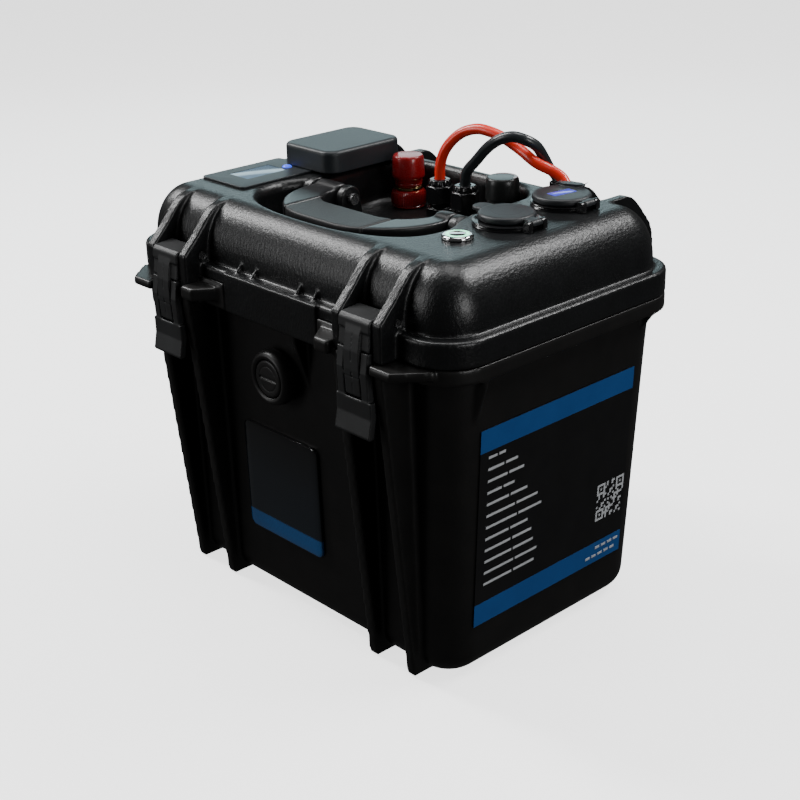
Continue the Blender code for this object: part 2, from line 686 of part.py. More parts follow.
def build_handle(frame_mat, grip_mat):
    z0, z1 = HANDLE_Z
    frame = soften(prism("handle_frame", [handle_outline()], z0 + 2, z1 - 1), 4.0, 1)
    fuse(frame, merged("handle_bosses", [handle_boss(-1), handle_boss(1)]))
    core_y = (HANDLE_FRONT + 6, HANDLE_INNER_FRONT - 6)
    waist = box("grip_space", (-GRIP_HALF, HANDLE_FRONT - 5, z0 - 5), (GRIP_HALF, HANDLE_INNER_FRONT + 5, z1 + 5))
    cut(frame, waist)
    core = box("grip_core", (-GRIP_HALF - 3, core_y[0], z0 + 5.5), (GRIP_HALF + 3, core_y[1], z1 - 5))
    fuse(frame, core)
    holes = [rod("hole", (side * 28, *HANDLE_PIVOT), (side * 71, *HANDLE_PIVOT), HANDLE_BOLT_RADIUS + 0.1)
             for side in (-1, 1)]
    cut(frame, merged("handle_bolt_holes", holes))
    finish_piece(frame, frame_mat, (0, *HANDLE_PIVOT))
    grip = box("handle_grip", (-GRIP_HALF + GAP, HANDLE_FRONT, z0), (GRIP_HALF - GAP, HANDLE_INNER_FRONT, z1))
    soften(grip, 4.0, 2)
    bore = box("grip_bore", (-GRIP_HALF - 9, core_y[0] - GAP, z0 + 5.5 - GAP),
               (GRIP_HALF + 9, core_y[1] + GAP, z1 - 5 + GAP))
    cut(grip, bore)
    finish_piece(grip, grip_mat, (0, *HANDLE_PIVOT))
    return frame, grip


def build_handle_bolt(name, side, mat):
    """Bolt with a flat head on the inner side: on the ear at the left, on the arm at the right."""
    head = side * HANDLE_BOLT_SEAT[side]
    start = side * (HANDLE_BOLT_SEAT[side] - 1.5)
    bolt = rod(name, (start, *HANDLE_PIVOT), (side * (LUG_OUTER[1] + 0.4), *HANDLE_PIVOT), HANDLE_BOLT_RADIUS)
    fuse(bolt, rod(name + "_head", (head - side * 3.2, *HANDLE_PIVOT), (head, *HANDLE_PIVOT), 3.7, 20))
    return finish_piece(bolt, mat, (0, *HANDLE_PIVOT))


# ----------------------------------------------------------------- terminals

def build_post(pole, body_mat, knob_mat, brass):
    """Binding post: insulating base, threaded stud, clamping washer and screw knob."""
    x = POST_X[pole]
    here = (x, ROW_Y, 0)
    floor = WELL_FLOOR + GAP
    base_profile = [(4.3, 246.8), (10.7, 246.8), (11.8, 245.4), (11.8, floor + 1), (11.0, floor),
                    (4.3, floor), (4.3, 246.8)]
    finish_piece(turned("post_base_" + pole, base_profile, here), body_mat)
    under = WELL_FLOOR - WELL_WALL - GAP
    stud_profile = [(0, 264.5), (3.4, 264.5), (4.0, 263.7), (4.0, under), (8.0, under), (8.0, under - 4),
                    (4.0, under - 4), (4.0, under - 11), (0, under - 11)]
    finish_piece(turned("post_stud_" + pole, stud_profile, here, steps=12), brass)
    washer_profile = [(4.3, 249.1), (9.4, 249.1), (9.4, 247.1), (4.3, 247.1), (4.3, 249.1)]
    finish_piece(turned("post_washer_" + pole, washer_profile, here), brass)
    knob_profile = [(0, 270.2), (9.7, 270.2), (10.5, 269.2), (11.2, 256.4), (10.6, 254.8), (9.2, 253.6),
                    (8.6, 249.4), (4.3, 249.4), (4.3, 265.5), (0, 265.5)]
    finish_piece(turned("post_knob_" + pole, knob_profile, here), knob_mat)


def hexagon(centre, across_flats, turn=0):
    radius = across_flats / math.sqrt(3)
    return [(centre[0] + radius * math.cos(math.radians(60 * i + turn)),
             centre[1] + radius * math.sin(math.radians(60 * i + turn))) for i in range(6)]


def build_gland(pole, mat):
    """Cable gland: hexagon body through the floor, and a domed clamping nut."""
    x = GLAND_X[pole]
    centre = (x, ROW_Y)
    body = prism("gland_body_" + pole, [hexagon(centre, 17.0)], WELL_FLOOR + GAP, 240.0)
    fuse(body, rod("gland_stem", (x, ROW_Y, 224.5), (x, ROW_Y, 236.5), 6.0, 20))
    fuse(body, rod("gland_neck", (x, ROW_Y, 239.0), (x, ROW_Y, 243.0), 7.0, 20))
    cut(body, rod("gland_bore", (x, ROW_Y, 215), (x, ROW_Y, 250), LEAD_RADIUS + 0.4, 12))
    finish_piece(body, mat)
    nut = prism("gland_nut_" + pole, [hexagon(centre, 16.5)], 243.3, 254.6)
    fuse(nut, rod("gland_dome", (x, ROW_Y, 254.0), (x, ROW_Y, 259.0), 8.15, 20, 6.6))
    cut(nut, rod("gland_nut_bore", (x, ROW_Y, 235), (x, ROW_Y, 264), LEAD_RADIUS + 0.4, 12))
    finish_piece(nut, mat)


def smooth_path(anchors, steps):
    """Points of a Catmull-Rom curve through the anchors."""
    points = [Vector(p) for p in anchors]
    ends = [points[0] * 2 - points[1]] + points + [points[-1] * 2 - points[-2]]
    path = []
    for a, b, c, d in zip(ends, ends[1:], ends[2:], ends[3:]):
        for i in range(steps):
            t = i / steps
            path.append(0.5 * ((2 * b) + (c - a) * t + (2 * a - 5 * b + 4 * c - d) * t * t
                               + (3 * b - a - 3 * c + d) * t ** 3))
    path.append(points[-1])
    return path


LEAD_ARCHES = {
    "red": ((-13.4, 53.9, 268.5), (-10.8, 55.0, 277.2), (-5.4, 57.0, 285.0), (2.7, 59.0, 291.3),
            (13.2, 61.0, 294.6), (23.2, 62.5, 294.0), (33.1, 64.0, 291.4), (45.8, 65.6, 285.8),
            (59.0, 66.0, 279.5), (66.8, 72.2, 274.6)),
    "black": ((11.4, 53.7, 268.4), (18.2, 54.0, 275.6), (28.5, 54.0, 286.0), (38.4, 54.5, 292.7),
              (47.2, 57.0, 295.6), (53.7, 61.2, 294.0), (57.4, 68.2, 289.1), (58.4, 74.1, 281.0),
              (59.9, 77.8, 273.9)),
}


def lead_path(pole):
    """Up through the gland, over in an arch, and slanting down into the plug."""
    x = GLAND_X[pole]
    entry_x, entry_y = PLUG_ENTRY[pole]
    inside = [(x, ROW_Y, 216.0), (x, ROW_Y, 238.0), (x, ROW_Y, 260.0)]
    top = PLUG_HIGH[2]
    plug = [(entry_x + d, entry_y, top - d) for d in (-3.6, -1.2, 0.6, 2.2)]
    return smooth_path(inside + list(LEAD_ARCHES[pole]) + plug, 2)


def build_lead(pole, mat):
    curve = bpy.data.curves.new("lead_" + pole, "CURVE")
    curve.dimensions = "3D"
    curve.bevel_depth = LEAD_RADIUS * MM
    curve.bevel_resolution = 2
    curve.use_fill_caps = True
    path = lead_path(pole)
    spline = curve.splines.new("POLY")
    spline.points.add(len(path) - 1)
    for point, place in zip(spline.points, path):
        point.co = (*metres(place), 1)
    curve.materials.append(mat)
    lead = bpy.data.objects.new("lead_" + pole, curve)
    PARTS.objects.link(lead)
    return lead


def build_lead_plug(mat):
    """Twin-pole plug seated in the lid, with a slanting bore for each lead."""
    plug = box("lead_plug", PLUG_LOW, PLUG_HIGH, upright=4.0, steps=2)
    (x0, y0), (x1, y1) = PLUG_STEM
    fuse(plug, box("plug_stem", (x0, y0, 254.0), (x1, y1, PLUG_LOW[2] + 1)))
    top = PLUG_HIGH[2]
    bores = [rod("bore", (x - 8, y, top + 8), (x + 6.2, y, top - 6.2), LEAD_RADIUS + 0.4, 12)
             for x, y in PLUG_ENTRY.values()]
    cut(plug, merged("plug_bores", bores))
    return finish_piece(plug, mat)


# ------------------------------------------------------- fittings on the right

def build_power_button(steel, light, cap_mat):
    """Push button: threaded bezel, light ring and moving cap."""
    here = (*BUTTON_AT, 0)
    top = LID_TOP + GAP
    bezel = [(7.2, top + 2.4), (8.6, top + 2.4), (9.3, top + 1.6), (9.3, top), (8.0, top), (8.0, 245.0),
             (7.2, 245.0), (7.2, top + 2.4)]
    finish_piece(turned("power_button_bezel", bezel, here), steel)
    ring = [(5.6, top + 2.5), (6.9, top + 2.5), (6.9, 250.0), (5.6, 250.0), (5.6, top + 2.5)]
    finish_piece(turned("power_button_ring", ring, here), light)
    cap = [(0, top + 2.8), (5.0, top + 2.8), (5.3, top + 2.4), (5.3, 251.0), (0, 251.0)]
    finish_piece(turned("power_button_cap", cap, here), cap_mat)


def hinge_ears(centre, radius):
    """Two ears on the +X side of a socket flange that hold the cap's knuckle."""
    x, y = centre
    hinge_x = x + radius + CAP_HINGE_OFFSET
    low = LID_TOP + GAP
    ears = []
    for sign in (-1, 1):
        y0, y1 = sorted((y + sign * 4.4, y + sign * 8.0))
        outline = [(x + radius - 4, low), (hinge_x + 2.4, low)] + arc((hinge_x, CAP_HINGE_Z), 2.4, 0, 180, 5)
        outline += [(hinge_x - 2.4, FLANGE_TOP - 0.4), (x + radius - 4, FLANGE_TOP - 0.4)]
        ears.append(prism("ear", [outline], y0, y1, "y"))
    return merged("ears", ears)


def socket_body(name, centre, radius, bore, depth, mat):
    """Round panel socket: flange, barrel through the lid, and an open bore."""
    foot = LID_TOP - depth
    profile = [(0, foot + 3), (bore, foot + 3), (bore, FLANGE_TOP), (radius - 0.8, FLANGE_TOP),
               (radius, FLANGE_TOP - 0.8), (radius, LID_TOP + GAP), (14.0, LID_TOP + GAP), (14.0, foot), (0, foot)]
    body = turned(name, profile, (*centre, 0), steps=20)
    fuse(body, hinge_ears(centre, radius))
    return finish_piece(body, mat)


def lift_tab(rim, angle, reach, half_width, low, high):
    """Tongue on the edge of a cap, at an angle from its -X side."""
    tab = box("tab", (-rim - reach, -half_width, low), (-rim + 7.5, half_width, high), upright=4.0, steps=2)
    tab.data.transform(Matrix.Rotation(math.radians(angle), 4, "Z"))
    return tab


def socket_cap(name, centre, radius, rim, tab, mat):
    """Flip cap with a lift tab and a hinge knuckle on its +X side."""
    x, y = centre
    hinge_x = x + radius + CAP_HINGE_OFFSET
    foot = FLANGE_TOP + GAP
    profile = [(0, CAP_TOP), (rim - 2.0, CAP_TOP), (rim - 0.7, CAP_TOP - 0.5), (rim, CAP_TOP - 1.6),
               (rim, foot + 0.8), (rim - 0.8, foot), (0, foot)]
    cap = turned(name, profile, (x, y, 0), steps=20)
    knuckle = prism("knuckle", [arc((hinge_x, CAP_HINGE_Z), 2.4, -20, 90, 5)
                                + [(x + rim - 3, CAP_HINGE_Z + 2.4), (x + rim - 3, foot + 0.2),
                                   (hinge_x, foot + 0.2)]], y - 4.1, y + 4.1, "y")
    tab.data.transform(Matrix.Translation(metres((x, y, 0))))
    fuse(cap, merged("cap_extras", [knuckle, tab]))
    return finish_piece(cap, mat)


def usb_window_box(name, margin, low, high):
    """Narrow window in the cap, turned a little off the Y axis."""
    window = box(name, (-3.7 - margin, -8.7 - margin, low), (3.7 + margin, 8.7 + margin, high))
    turn = Matrix.Translation(metres((*USB_AT, 0))) @ Matrix.Rotation(math.radians(-8), 4, "Z")
    window.data.transform(turn)
    return window


# -------------------------------------------------------- fittings on the left

def build_display(housing_mat, window_mat, button_mat):
    x, y = DISPLAY_BUTTON_AT
    low = LID_TOP + GAP
    housing = box("display_housing", (DISPLAY_X[0], DISPLAY_Y[0], low), (DISPLAY_X[1], DISPLAY_Y[1], DISPLAY_TOP),
                  upright=3.0, steps=3)
    fuse(housing, box("display_body", (DISPLAY_X[0] + 7, DISPLAY_Y[0] + 8, 251.0),
                      (DISPLAY_X[1] - 7, -1.5, low + 0.6)))
    cut(housing, box("screen_seat", (SCREEN_X[0] - GAP, SCREEN_Y[0] - GAP, DISPLAY_TOP - 1.3),
                     (SCREEN_X[1] + GAP, SCREEN_Y[1] + GAP, DISPLAY_TOP + 5)))
    cut(housing, rod("button_seat", (x, y, 258.0), (x, y, 270.0), BUTTON_RADIUS + GAP, 16))
    finish_piece(housing, housing_mat)
    window = box("display_window", (SCREEN_X[0], SCREEN_Y[0], DISPLAY_TOP - 1.0),
                 (SCREEN_X[1], SCREEN_Y[1], DISPLAY_TOP - 0.1))
    finish_piece(window, window_mat)
    crown = DISPLAY_TOP + 1.3
    profile = [(0, crown), (BUTTON_RADIUS - 1.4, crown - 0.2), (BUTTON_RADIUS, crown - 0.9),
               (BUTTON_RADIUS, 259.3), (0, 259.3)]
    finish_piece(turned("display_button", profile, (x, y, 0), steps=12), button_mat)


def outlet_ear(y0, y1):
    """Upright ear on the hinge axis, carried by a thin foot that runs under the cover's wall."""
    x, z = COVER_HINGE
    low = LID_TOP + GAP
    outline = [(x - 2.4, low), (-103.0, low), (-103.0, low + 1.1), (x + 2.4, low + 1.1)]
    return prism("ear", [outline + arc((x, z), 2.4, 0, 180, 5)], y0, y1, "y")


def build_outlet(base_mat, cover_mat, pin_mat):
    """Covered outlet box: base through the lid, and a flip cover hinged on its left edge."""
    x, z = COVER_HINGE
    low = LID_TOP + GAP
    base = box("outlet_base", (-104.2, 7.0, low), (-76.0, 60.0, low + 5.8), upright=4.0, steps=3)
    fuse(base, box("outlet_body", (-100.5, 22.5, 244.0), (-82.5, 47.5, low + 1)))
    cut(base, box("outlet_opening", (-98.5, 24.5, 248.0), (-84.5, 45.5, 275.0)))
    fuse(base, merged("outlet_ears", [outlet_ear(*span) for span in OUTLET_EARS]))
    cut(base, rod("outlet_pin_hole", (x, 8, z), (x, 60, z), 1.25, 12))
    finish_piece(base, base_mat)
    cover = box("outlet_cover", COVER_LOW, COVER_HIGH, upright=9.5, top=2.4, steps=3)
    wall = COVER_WALL
    inside = box("cover_space", (COVER_LOW[0] + wall, COVER_LOW[1] + wall, 260.0),
                 (COVER_HIGH[0] - wall, COVER_HIGH[1] - wall, COVER_HIGH[2] - wall), upright=7.0, steps=3)
    cut(cover, inside)
    knuckle = prism("cover_knuckle", [arc((x, z), 2.4, 90, 270, 6) + [(COVER_LOW[0] + 1.5, z - 2.4),
                                                                     (COVER_LOW[0] + 1.5, z + 2.4)]],
                    *OUTLET_KNUCKLE, "y")
    fuse(cover, knuckle)
    cut(cover, rod("cover_pin_hole", (x, 10, z), (x, 58, z), 1.35, 12))
    finish_piece(cover, cover_mat)
    finish_piece(rod("outlet_hinge_pin", (x, 13.3, z), (x, 54.7, z), 1.2, 12), pin_mat)


# ------------------------------------------------------------ front and side

def build_purge_valve(body_mat, seal_mat):
    """Pressure equalising valve: flanged ring, coin-slot knob, and a seal behind the flange."""
    x, z = VALVE_AT
    face = 93.0                      # distance of the mounting face in front of the centre
    here = (x, 0, z)
    body = [(12.6, face + 9.0), (14.6, face + 10.4), (16.6, face + 9.4), (17.8, face + 6.0), (18.0, face + 1.6),
            (9.0, face + 1.6), (9.0, face - 8.0), (5.0, face - 8.0), (5.0, face + 3.0), (12.6, face + 3.0),
            (12.6, face + 9.0)]
    finish_piece(turned("purge_valve_body", body, here, axis="front"), body_mat)
    knob = [(0, face + 9.6), (10.8, face + 9.6), (12.2, face + 8.8), (12.2, face + 3.4), (0, face + 3.4)]
    knob_piece = turned("purge_valve_knob", knob, here, axis="front")
    slot = box("coin_slot", (x - 8.0, -(face + 15.0), z - 0.9), (x + 8.0, -(face + 8.4), z + 0.9))
    cut(knob_piece, slot)
    finish_piece(knob_piece, body_mat)
    seal = [(9.6, face + 1.3), (14.0, face + 1.3), (14.0, face + 0.1), (9.6, face + 0.1), (9.6, face + 1.3)]
    finish_piece(turned("purge_valve_seal", seal, here, axis="front"), seal_mat)


def front_lean():
    """Angle of the drafted front wall from upright."""
    return math.atan2(TUB_TOP_HALF[1] - TUB_FOOT_HALF[1], RIM_TOP)


def side_lean():
    return math.atan2(TUB_TOP_HALF[0] - TUB_FOOT_HALF[0], RIM_TOP)


def build_front_badge(mat):
    """Domed plate stuck on the front wall, following its draft."""
    outline = rounded_outline((BADGE_X[0], BADGE_Z[0]), (BADGE_X[1], BADGE_Z[1]), 5.0, 4)
    badge = prism("front_badge", [outline], -2.6, -0.4, "y")
    soften(badge, 0.7, 1, 60)
    badge.data.transform(Matrix.Rotation(front_lean(), 4, "X"))
    badge.location = metres((0, -TUB_FOOT_HALF[1], 0))
    return finish_piece(badge, mat)


def build_side_label(mat):
    """Thin printed sheet on the drafted side wall."""
    label = box("side_label", (0.3, LABEL_Y[0], LABEL_Z[0]), (0.7, LABEL_Y[1], LABEL_Z[1]))
    label.data.transform(Matrix.Rotation(side_lean(), 4, "Y"))
    label.location = metres((TUB_FOOT_HALF[0], 0, 0))
    return finish_piece(label, mat)


# ---------------------------------------------------------------------- inside

def build_cell(index, wrap):
    """Prismatic cell with two round terminals on top."""
    x = (index - 2.5) * CELL_PITCH
    half_x, half_y = CELL_SIZE[0] / 2, CELL_SIZE[1] / 2
    top = CELL_FOOT + CELL_SIZE[2]
    cell = box(f"cell_{index}", (x - half_x, -half_y, CELL_FOOT), (x + half_x, half_y, top), upright=2.0, steps=1)
    posts = [rod("terminal", (x, y, top - 2), (x, y, top + 3), 7.0, 12) for y in (-TERMINAL_Y, TERMINAL_Y)]
    fuse(cell, merged("terminals", posts))
    return finish_piece(cell, wrap)


def build_busbars(mat):
    low = CELL_FOOT + CELL_SIZE[2] + 3 + GAP
    for index in (1, 2, 3):
        x = (index - 2) * CELL_PITCH
        y = TERMINAL_Y if index % 2 else -TERMINAL_Y
        reach = CELL_PITCH / 2 + 7
        bar = box(f"busbar_{index}", (x - reach, y - 9, low), (x + reach, y + 9, low + 2), upright=2.0, steps=1)
        finish_piece(bar, mat)


def build_management_module(mat):
    """Flat electronics box on four feet that stand on the cells between the busbars."""
    top = CELL_FOOT + CELL_SIZE[2]
    module = box("management_module", (-75.0, -38.0, top + 8), (75.0, 38.0, top + 26), upright=3.0, steps=1)
    feet = [box("foot", (x - 5, y - 5, top + GAP), (x + 5, y + 5, top + 9))
            for x in (-65, 65) for y in (-30, 30)]
    fuse(module, merged("module_feet", feet))
    return finish_piece(module, mat)


def build_foam_pad(mat):
    return finish_piece(box("foam_pad", (-103, -73, WALL + GAP), (103, 73, CELL_FOOT - GAP)), mat)


# -------------------------------------------------------------------- assembly

BODY_PARENTS = {
    "lid": None,
    "latch_link_left": "lid",
    "latch_link_right": "lid",
    "latch_lever_left": "latch_link_left",
    "latch_lever_right": "latch_link_right",
    "handle": "lid",
    "outlet_cover": "lid",
    "socket_12v_cap": "lid",
    "socket_usb_cap": "lid",
    "power_button": "lid",
    "display_button": "lid",
    "post_washer_red": "lid",
    "post_washer_black": "lid",
    "post_knob_red": "post_washer_red",
    "post_knob_black": "post_washer_black",
    "purge_valve_knob": None,
}


def joint_places():
    """World position of each moving body's joint."""
    places = {"lid": (0, *HINGE), "handle": (0, *HANDLE_PIVOT),
              "outlet_cover": (COVER_HINGE[0], 30, COVER_HINGE[1]),
              "socket_12v_cap": (SOCKET_AT[0] + SOCKET_RADIUS + CAP_HINGE_OFFSET, SOCKET_AT[1], CAP_HINGE_Z),
              "socket_usb_cap": (USB_AT[0] + USB_RADIUS + CAP_HINGE_OFFSET, USB_AT[1], CAP_HINGE_Z),
              "power_button": (*BUTTON_AT, LID_TOP), "display_button": (*DISPLAY_BUTTON_AT, LID_TOP),
              "purge_valve_knob": (VALVE_AT[0], -100, VALVE_AT[1])}
    for name, side in (("left", -1), ("right", 1)):
        places["latch_link_" + name] = (side * LATCH_X, *LATCH_PIN)
        places["latch_lever_" + name] = (side * LATCH_X, *LEVER_PIVOT)
    for pole in ("red", "black"):
        places["post_washer_" + pole] = (POST_X[pole], ROW_Y, 247.1)
        places["post_knob_" + pole] = (POST_X[pole], ROW_Y, 249.4)
    return places


MOVING_PIECES = {
    "lid": ("lid_shell", "lid_seal", "latch_pin_left", "latch_pin_right", "handle_bolt_left",
            "handle_bolt_right", "display_housing", "display_window", "outlet_base", "outlet_hinge_pin",
            "power_button_bezel", "power_button_ring", "socket_12v_body", "socket_usb_body",
            "post_base_red", "post_base_black", "post_stud_red", "post_stud_black", "gland_body_red",
            "gland_body_black", "gland_nut_red", "gland_nut_black", "lead_red", "lead_black", "lead_plug"),
    "handle": ("handle_frame", "handle_grip"),
    "socket_usb_cap": ("socket_usb_cap", "usb_cap_window"),
    "power_button": ("power_button_cap",),
}


def parent_moving_pieces():
    """Put an empty on every joint axis and hang the moving pieces from it."""
    places = joint_places()
    empties = {}
    for body, parent in BODY_PARENTS.items():
        empty = bpy.data.objects.new(body + "_axis", None)
        empty.empty_display_size = 0.01
        PARTS.objects.link(empty)
        here = metres(places[body])
        if parent:
            empty.parent = empties[parent]
            here = here - metres(places[parent])
        empty.location = here
        empties[body] = empty
        for name in MOVING_PIECES.get(body, (body,)):
            piece = PARTS.objects[name]
            piece.parent = empty
            piece.matrix_parent_inverse = Matrix.Translation(-metres(places[body]))


def build():
    global PARTS, CUTTERS
    clear_scene()
    PARTS = new_collection("deep_cycle_battery")
    CUTTERS = new_collection("cutters")
    black_shell = material("black shell", (0.012, 0.012, 0.013), 0.5)
    black_smooth = material("black smooth", (0.02, 0.02, 0.022), 0.35)
    rubber = material("black rubber", (0.02, 0.02, 0.02), 0.75)
    steel = material("steel", (0.7, 0.7, 0.7), 0.25, 1.0)
    brass = material("brass", (0.8, 0.6, 0.3), 0.25, 1.0)
    red = material("red plastic", (0.45, 0.01, 0.012), 0.35)
    blue = material("blue light", (0.05, 0.12, 0.6), 0.3)
    screen = material("screen", (0.45, 0.55, 0.62), 0.2)
    badge = material("badge", (0.02, 0.03, 0.05), 0.1)
    printed = material("printed label", (0.01, 0.05, 0.17), 0.4)
    cell_wrap = material("cell wrap", (0.02, 0.12, 0.3), 0.4)
    copper = material("copper", (0.8, 0.4, 0.25), 0.3, 1.0)
    foam = material("foam", (0.1, 0.1, 0.1), 0.9)
    red_lead = material("red lead", (0.8, 0.05, 0.02), 0.35)
    green = material("green light", (0.6, 0.9, 0.75), 0.2)

    build_case_base(black_smooth)
    build_lid_shell(black_shell)
    build_lid_seal(rubber)
    for name, side in (("left", -1), ("right", 1)):
        finish_piece(rod("hinge_pin_" + name, (side * 69.2, *HINGE), (side * HINGE_PIN_END, *HINGE),
                         HINGE_PIN_RADIUS, 16), steel)
        finish_piece(rod("latch_pin_" + name, (side * 69.4, *LATCH_PIN), (side * 109.9, *LATCH_PIN),
                         LATCH_PIN_RADIUS, 16), steel)
        build_latch_link("latch_link_" + name, side, black_smooth)
        build_latch_lever("latch_lever_" + name, side, black_smooth)
        build_handle_bolt("handle_bolt_" + name, side, steel)
    build_handle(black_smooth, rubber)
    build_post("red", red, red, brass)
    build_post("black", black_smooth, black_smooth, brass)
    for pole, mat in (("red", red_lead), ("black", rubber)):
        build_gland(pole, black_smooth)
        build_lead(pole, mat)
    build_lead_plug(black_smooth)
    build_power_button(steel, green, steel)
    socket_body("socket_12v_body", SOCKET_AT, SOCKET_RADIUS, 10.6, 40.0, black_smooth)
    socket_cap("socket_12v_cap", SOCKET_AT, SOCKET_RADIUS, SOCKET_CAP_RADIUS,
               lift_tab(SOCKET_CAP_RADIUS, 0, 8.0, 6.0, CAP_TOP - 2.6, CAP_TOP - 0.3), rubber)
    socket_body("socket_usb_body", USB_AT, USB_RADIUS, 12.0, 24.0, black_smooth)
    usb_cap = socket_cap("socket_usb_cap", USB_AT, USB_RADIUS, USB_CAP_RADIUS,
                         lift_tab(USB_CAP_RADIUS, -66, 1.5, 8.3, FLANGE_TOP + 0.8, CAP_TOP + 1.8), rubber)
    cut(usb_cap, usb_window_box("window_seat", GAP, CAP_TOP - 1.1, CAP_TOP + 5))
    finish_piece(usb_window_box("usb_cap_window", 0.0, CAP_TOP - 0.8, CAP_TOP - 0.1), blue)
    build_display(black_smooth, screen, blue)
    build_outlet(black_smooth, black_smooth, steel)
    build_purge_valve(black_smooth, rubber)
    build_front_badge(badge)
    build_side_label(printed)
    for index in (1, 2, 3, 4):
        build_cell(index, cell_wrap)
    build_busbars(copper)
    build_foam_pad(foam)
    build_management_module(black_smooth)
    parent_moving_pieces()


build()
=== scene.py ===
"""Looks for the portable deep cycle battery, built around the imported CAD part.

Sizes are in millimetres unless a helper says otherwise. -Y is the latch side.
"""

import math

import bmesh
import bpy
from mathutils import Matrix, Vector


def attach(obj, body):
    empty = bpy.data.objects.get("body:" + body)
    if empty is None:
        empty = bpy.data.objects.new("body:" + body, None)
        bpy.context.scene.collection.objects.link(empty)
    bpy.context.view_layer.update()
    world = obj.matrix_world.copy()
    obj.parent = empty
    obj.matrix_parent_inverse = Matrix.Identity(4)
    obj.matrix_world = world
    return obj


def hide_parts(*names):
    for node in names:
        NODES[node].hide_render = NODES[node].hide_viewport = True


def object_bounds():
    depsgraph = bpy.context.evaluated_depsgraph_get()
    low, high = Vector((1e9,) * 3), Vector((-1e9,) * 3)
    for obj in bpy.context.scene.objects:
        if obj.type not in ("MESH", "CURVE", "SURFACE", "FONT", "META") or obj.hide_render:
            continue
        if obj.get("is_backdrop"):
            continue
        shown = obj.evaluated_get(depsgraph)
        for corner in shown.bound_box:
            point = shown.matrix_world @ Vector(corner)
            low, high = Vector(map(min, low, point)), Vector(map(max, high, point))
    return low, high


MM = 0.001
LID_TOP = 262.0
PARTING = 209.5
SKIRT_BOTTOM = PARTING + 0.3
SKIRT_TOP = 225.3
RIM_HALF = (150.0, 102.5)
RIM_BOTTOM = 199.7
RIM_TOP = PARTING - 0.2
TUB_TOP_HALF = (143.1, 92.4)
TUB_FOOT_HALF = (132.8, 88.0)
WALL = 3.5
DOME_HALF = (143.2, 95.7)
DOME_SHOULDER = (24.0, 32.0)
WELL_FLOOR = 235.0
RIB_X = (72.5, 106.2)
RIB_THICK = 7.0
RIB_FRONT = 114.5
LATCH_X = sum(RIB_X) / 2
LATCH_PIN = (-101.0, 230.5)
LEVER_PIVOT = (-116.5, 200.0)
HINGE = (118.0, 207.0)
HANDLE_PIVOT = (-9.0, 255.0)
HANDLE_BEND = (13.0, -17.0, 49.0)     # x and y of the outer bend's centre, and its radius
HANDLE_Z = (243.5, 260.5)
HANDLE_HOLE_RADIUS = 2.5
LATCH_HALF = 12.75
LATCH_EYE_RADIUS = 4.1
LATCH_PIN_HOLE = 2.4
LUG_SPANS = ((-68.5, -62.5), (-37.0, -31.0), (62.5, 68.5))
ROW_Y = 53.5                          # row of posts and glands
POST_X = {"red": -43.8, "black": 42.5}
GLAND_X = {"red": -13.8, "black": 9.5}
BUTTON_AT = (94.7, -39.8)
SOCKET_AT = (95.0, 0.8)
SOCKET_RADIUS = 20.5
USB_AT = (92.5, 52.3)
USB_RADIUS = 19.2
CAP_HINGE_OFFSET = 1.6
CAP_HINGE_Z = 266.2
CAP_HINGE_RADIUS = 2.4
FITTING_FOOT = LID_TOP + 0.3          # where the fittings rest on the lid
LEAD_RADIUS = 3.5
LEAD_BORE_RADIUS = 3.8
BADGE_LOW = (-49.0, 46.0)             # x, z
BADGE_HIGH = (23.5, 123.0)
LABEL_Y = (-69.0, 67.0)
LABEL_Z = (35.0, 166.0)

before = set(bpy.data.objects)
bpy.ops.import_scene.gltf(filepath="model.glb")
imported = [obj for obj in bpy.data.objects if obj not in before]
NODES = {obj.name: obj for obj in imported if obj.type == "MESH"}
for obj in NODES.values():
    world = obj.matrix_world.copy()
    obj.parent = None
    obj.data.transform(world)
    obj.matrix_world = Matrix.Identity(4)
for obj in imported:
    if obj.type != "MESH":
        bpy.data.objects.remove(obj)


def remember_size(first=[None]):
    low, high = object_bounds()
    box_now = [list(map(float, low)), list(map(float, high))]
    if first[0] is None:
        first[0] = box_now


# --------------------------------------------------------------- mesh helpers

def link(name, data):
    piece = bpy.data.objects.new(name, data)
    bpy.context.scene.collection.objects.link(piece)
    return piece


def evaluated_mesh(piece):
    bpy.context.view_layer.update()
    return bpy.data.meshes.new_from_object(piece.evaluated_get(bpy.context.evaluated_depsgraph_get()))


def from_bmesh(name, bm, smooth=True):
    bmesh.ops.recalc_face_normals(bm, faces=bm.faces)
    mesh = bpy.data.meshes.new(name)
    bm.to_mesh(mesh)
    bm.free()
    if smooth:
        mesh.shade_smooth()
    return link(name, mesh)


def round_edges(bm, edges, radius, steps):
    bmesh.ops.bevel(bm, geom=edges, offset=radius, segments=steps, profile=0.5, affect="EDGES")


def uprights(bm):
    return [e for e in bm.edges if abs(e.verts[0].co.z - e.verts[1].co.z) > 1e-6]


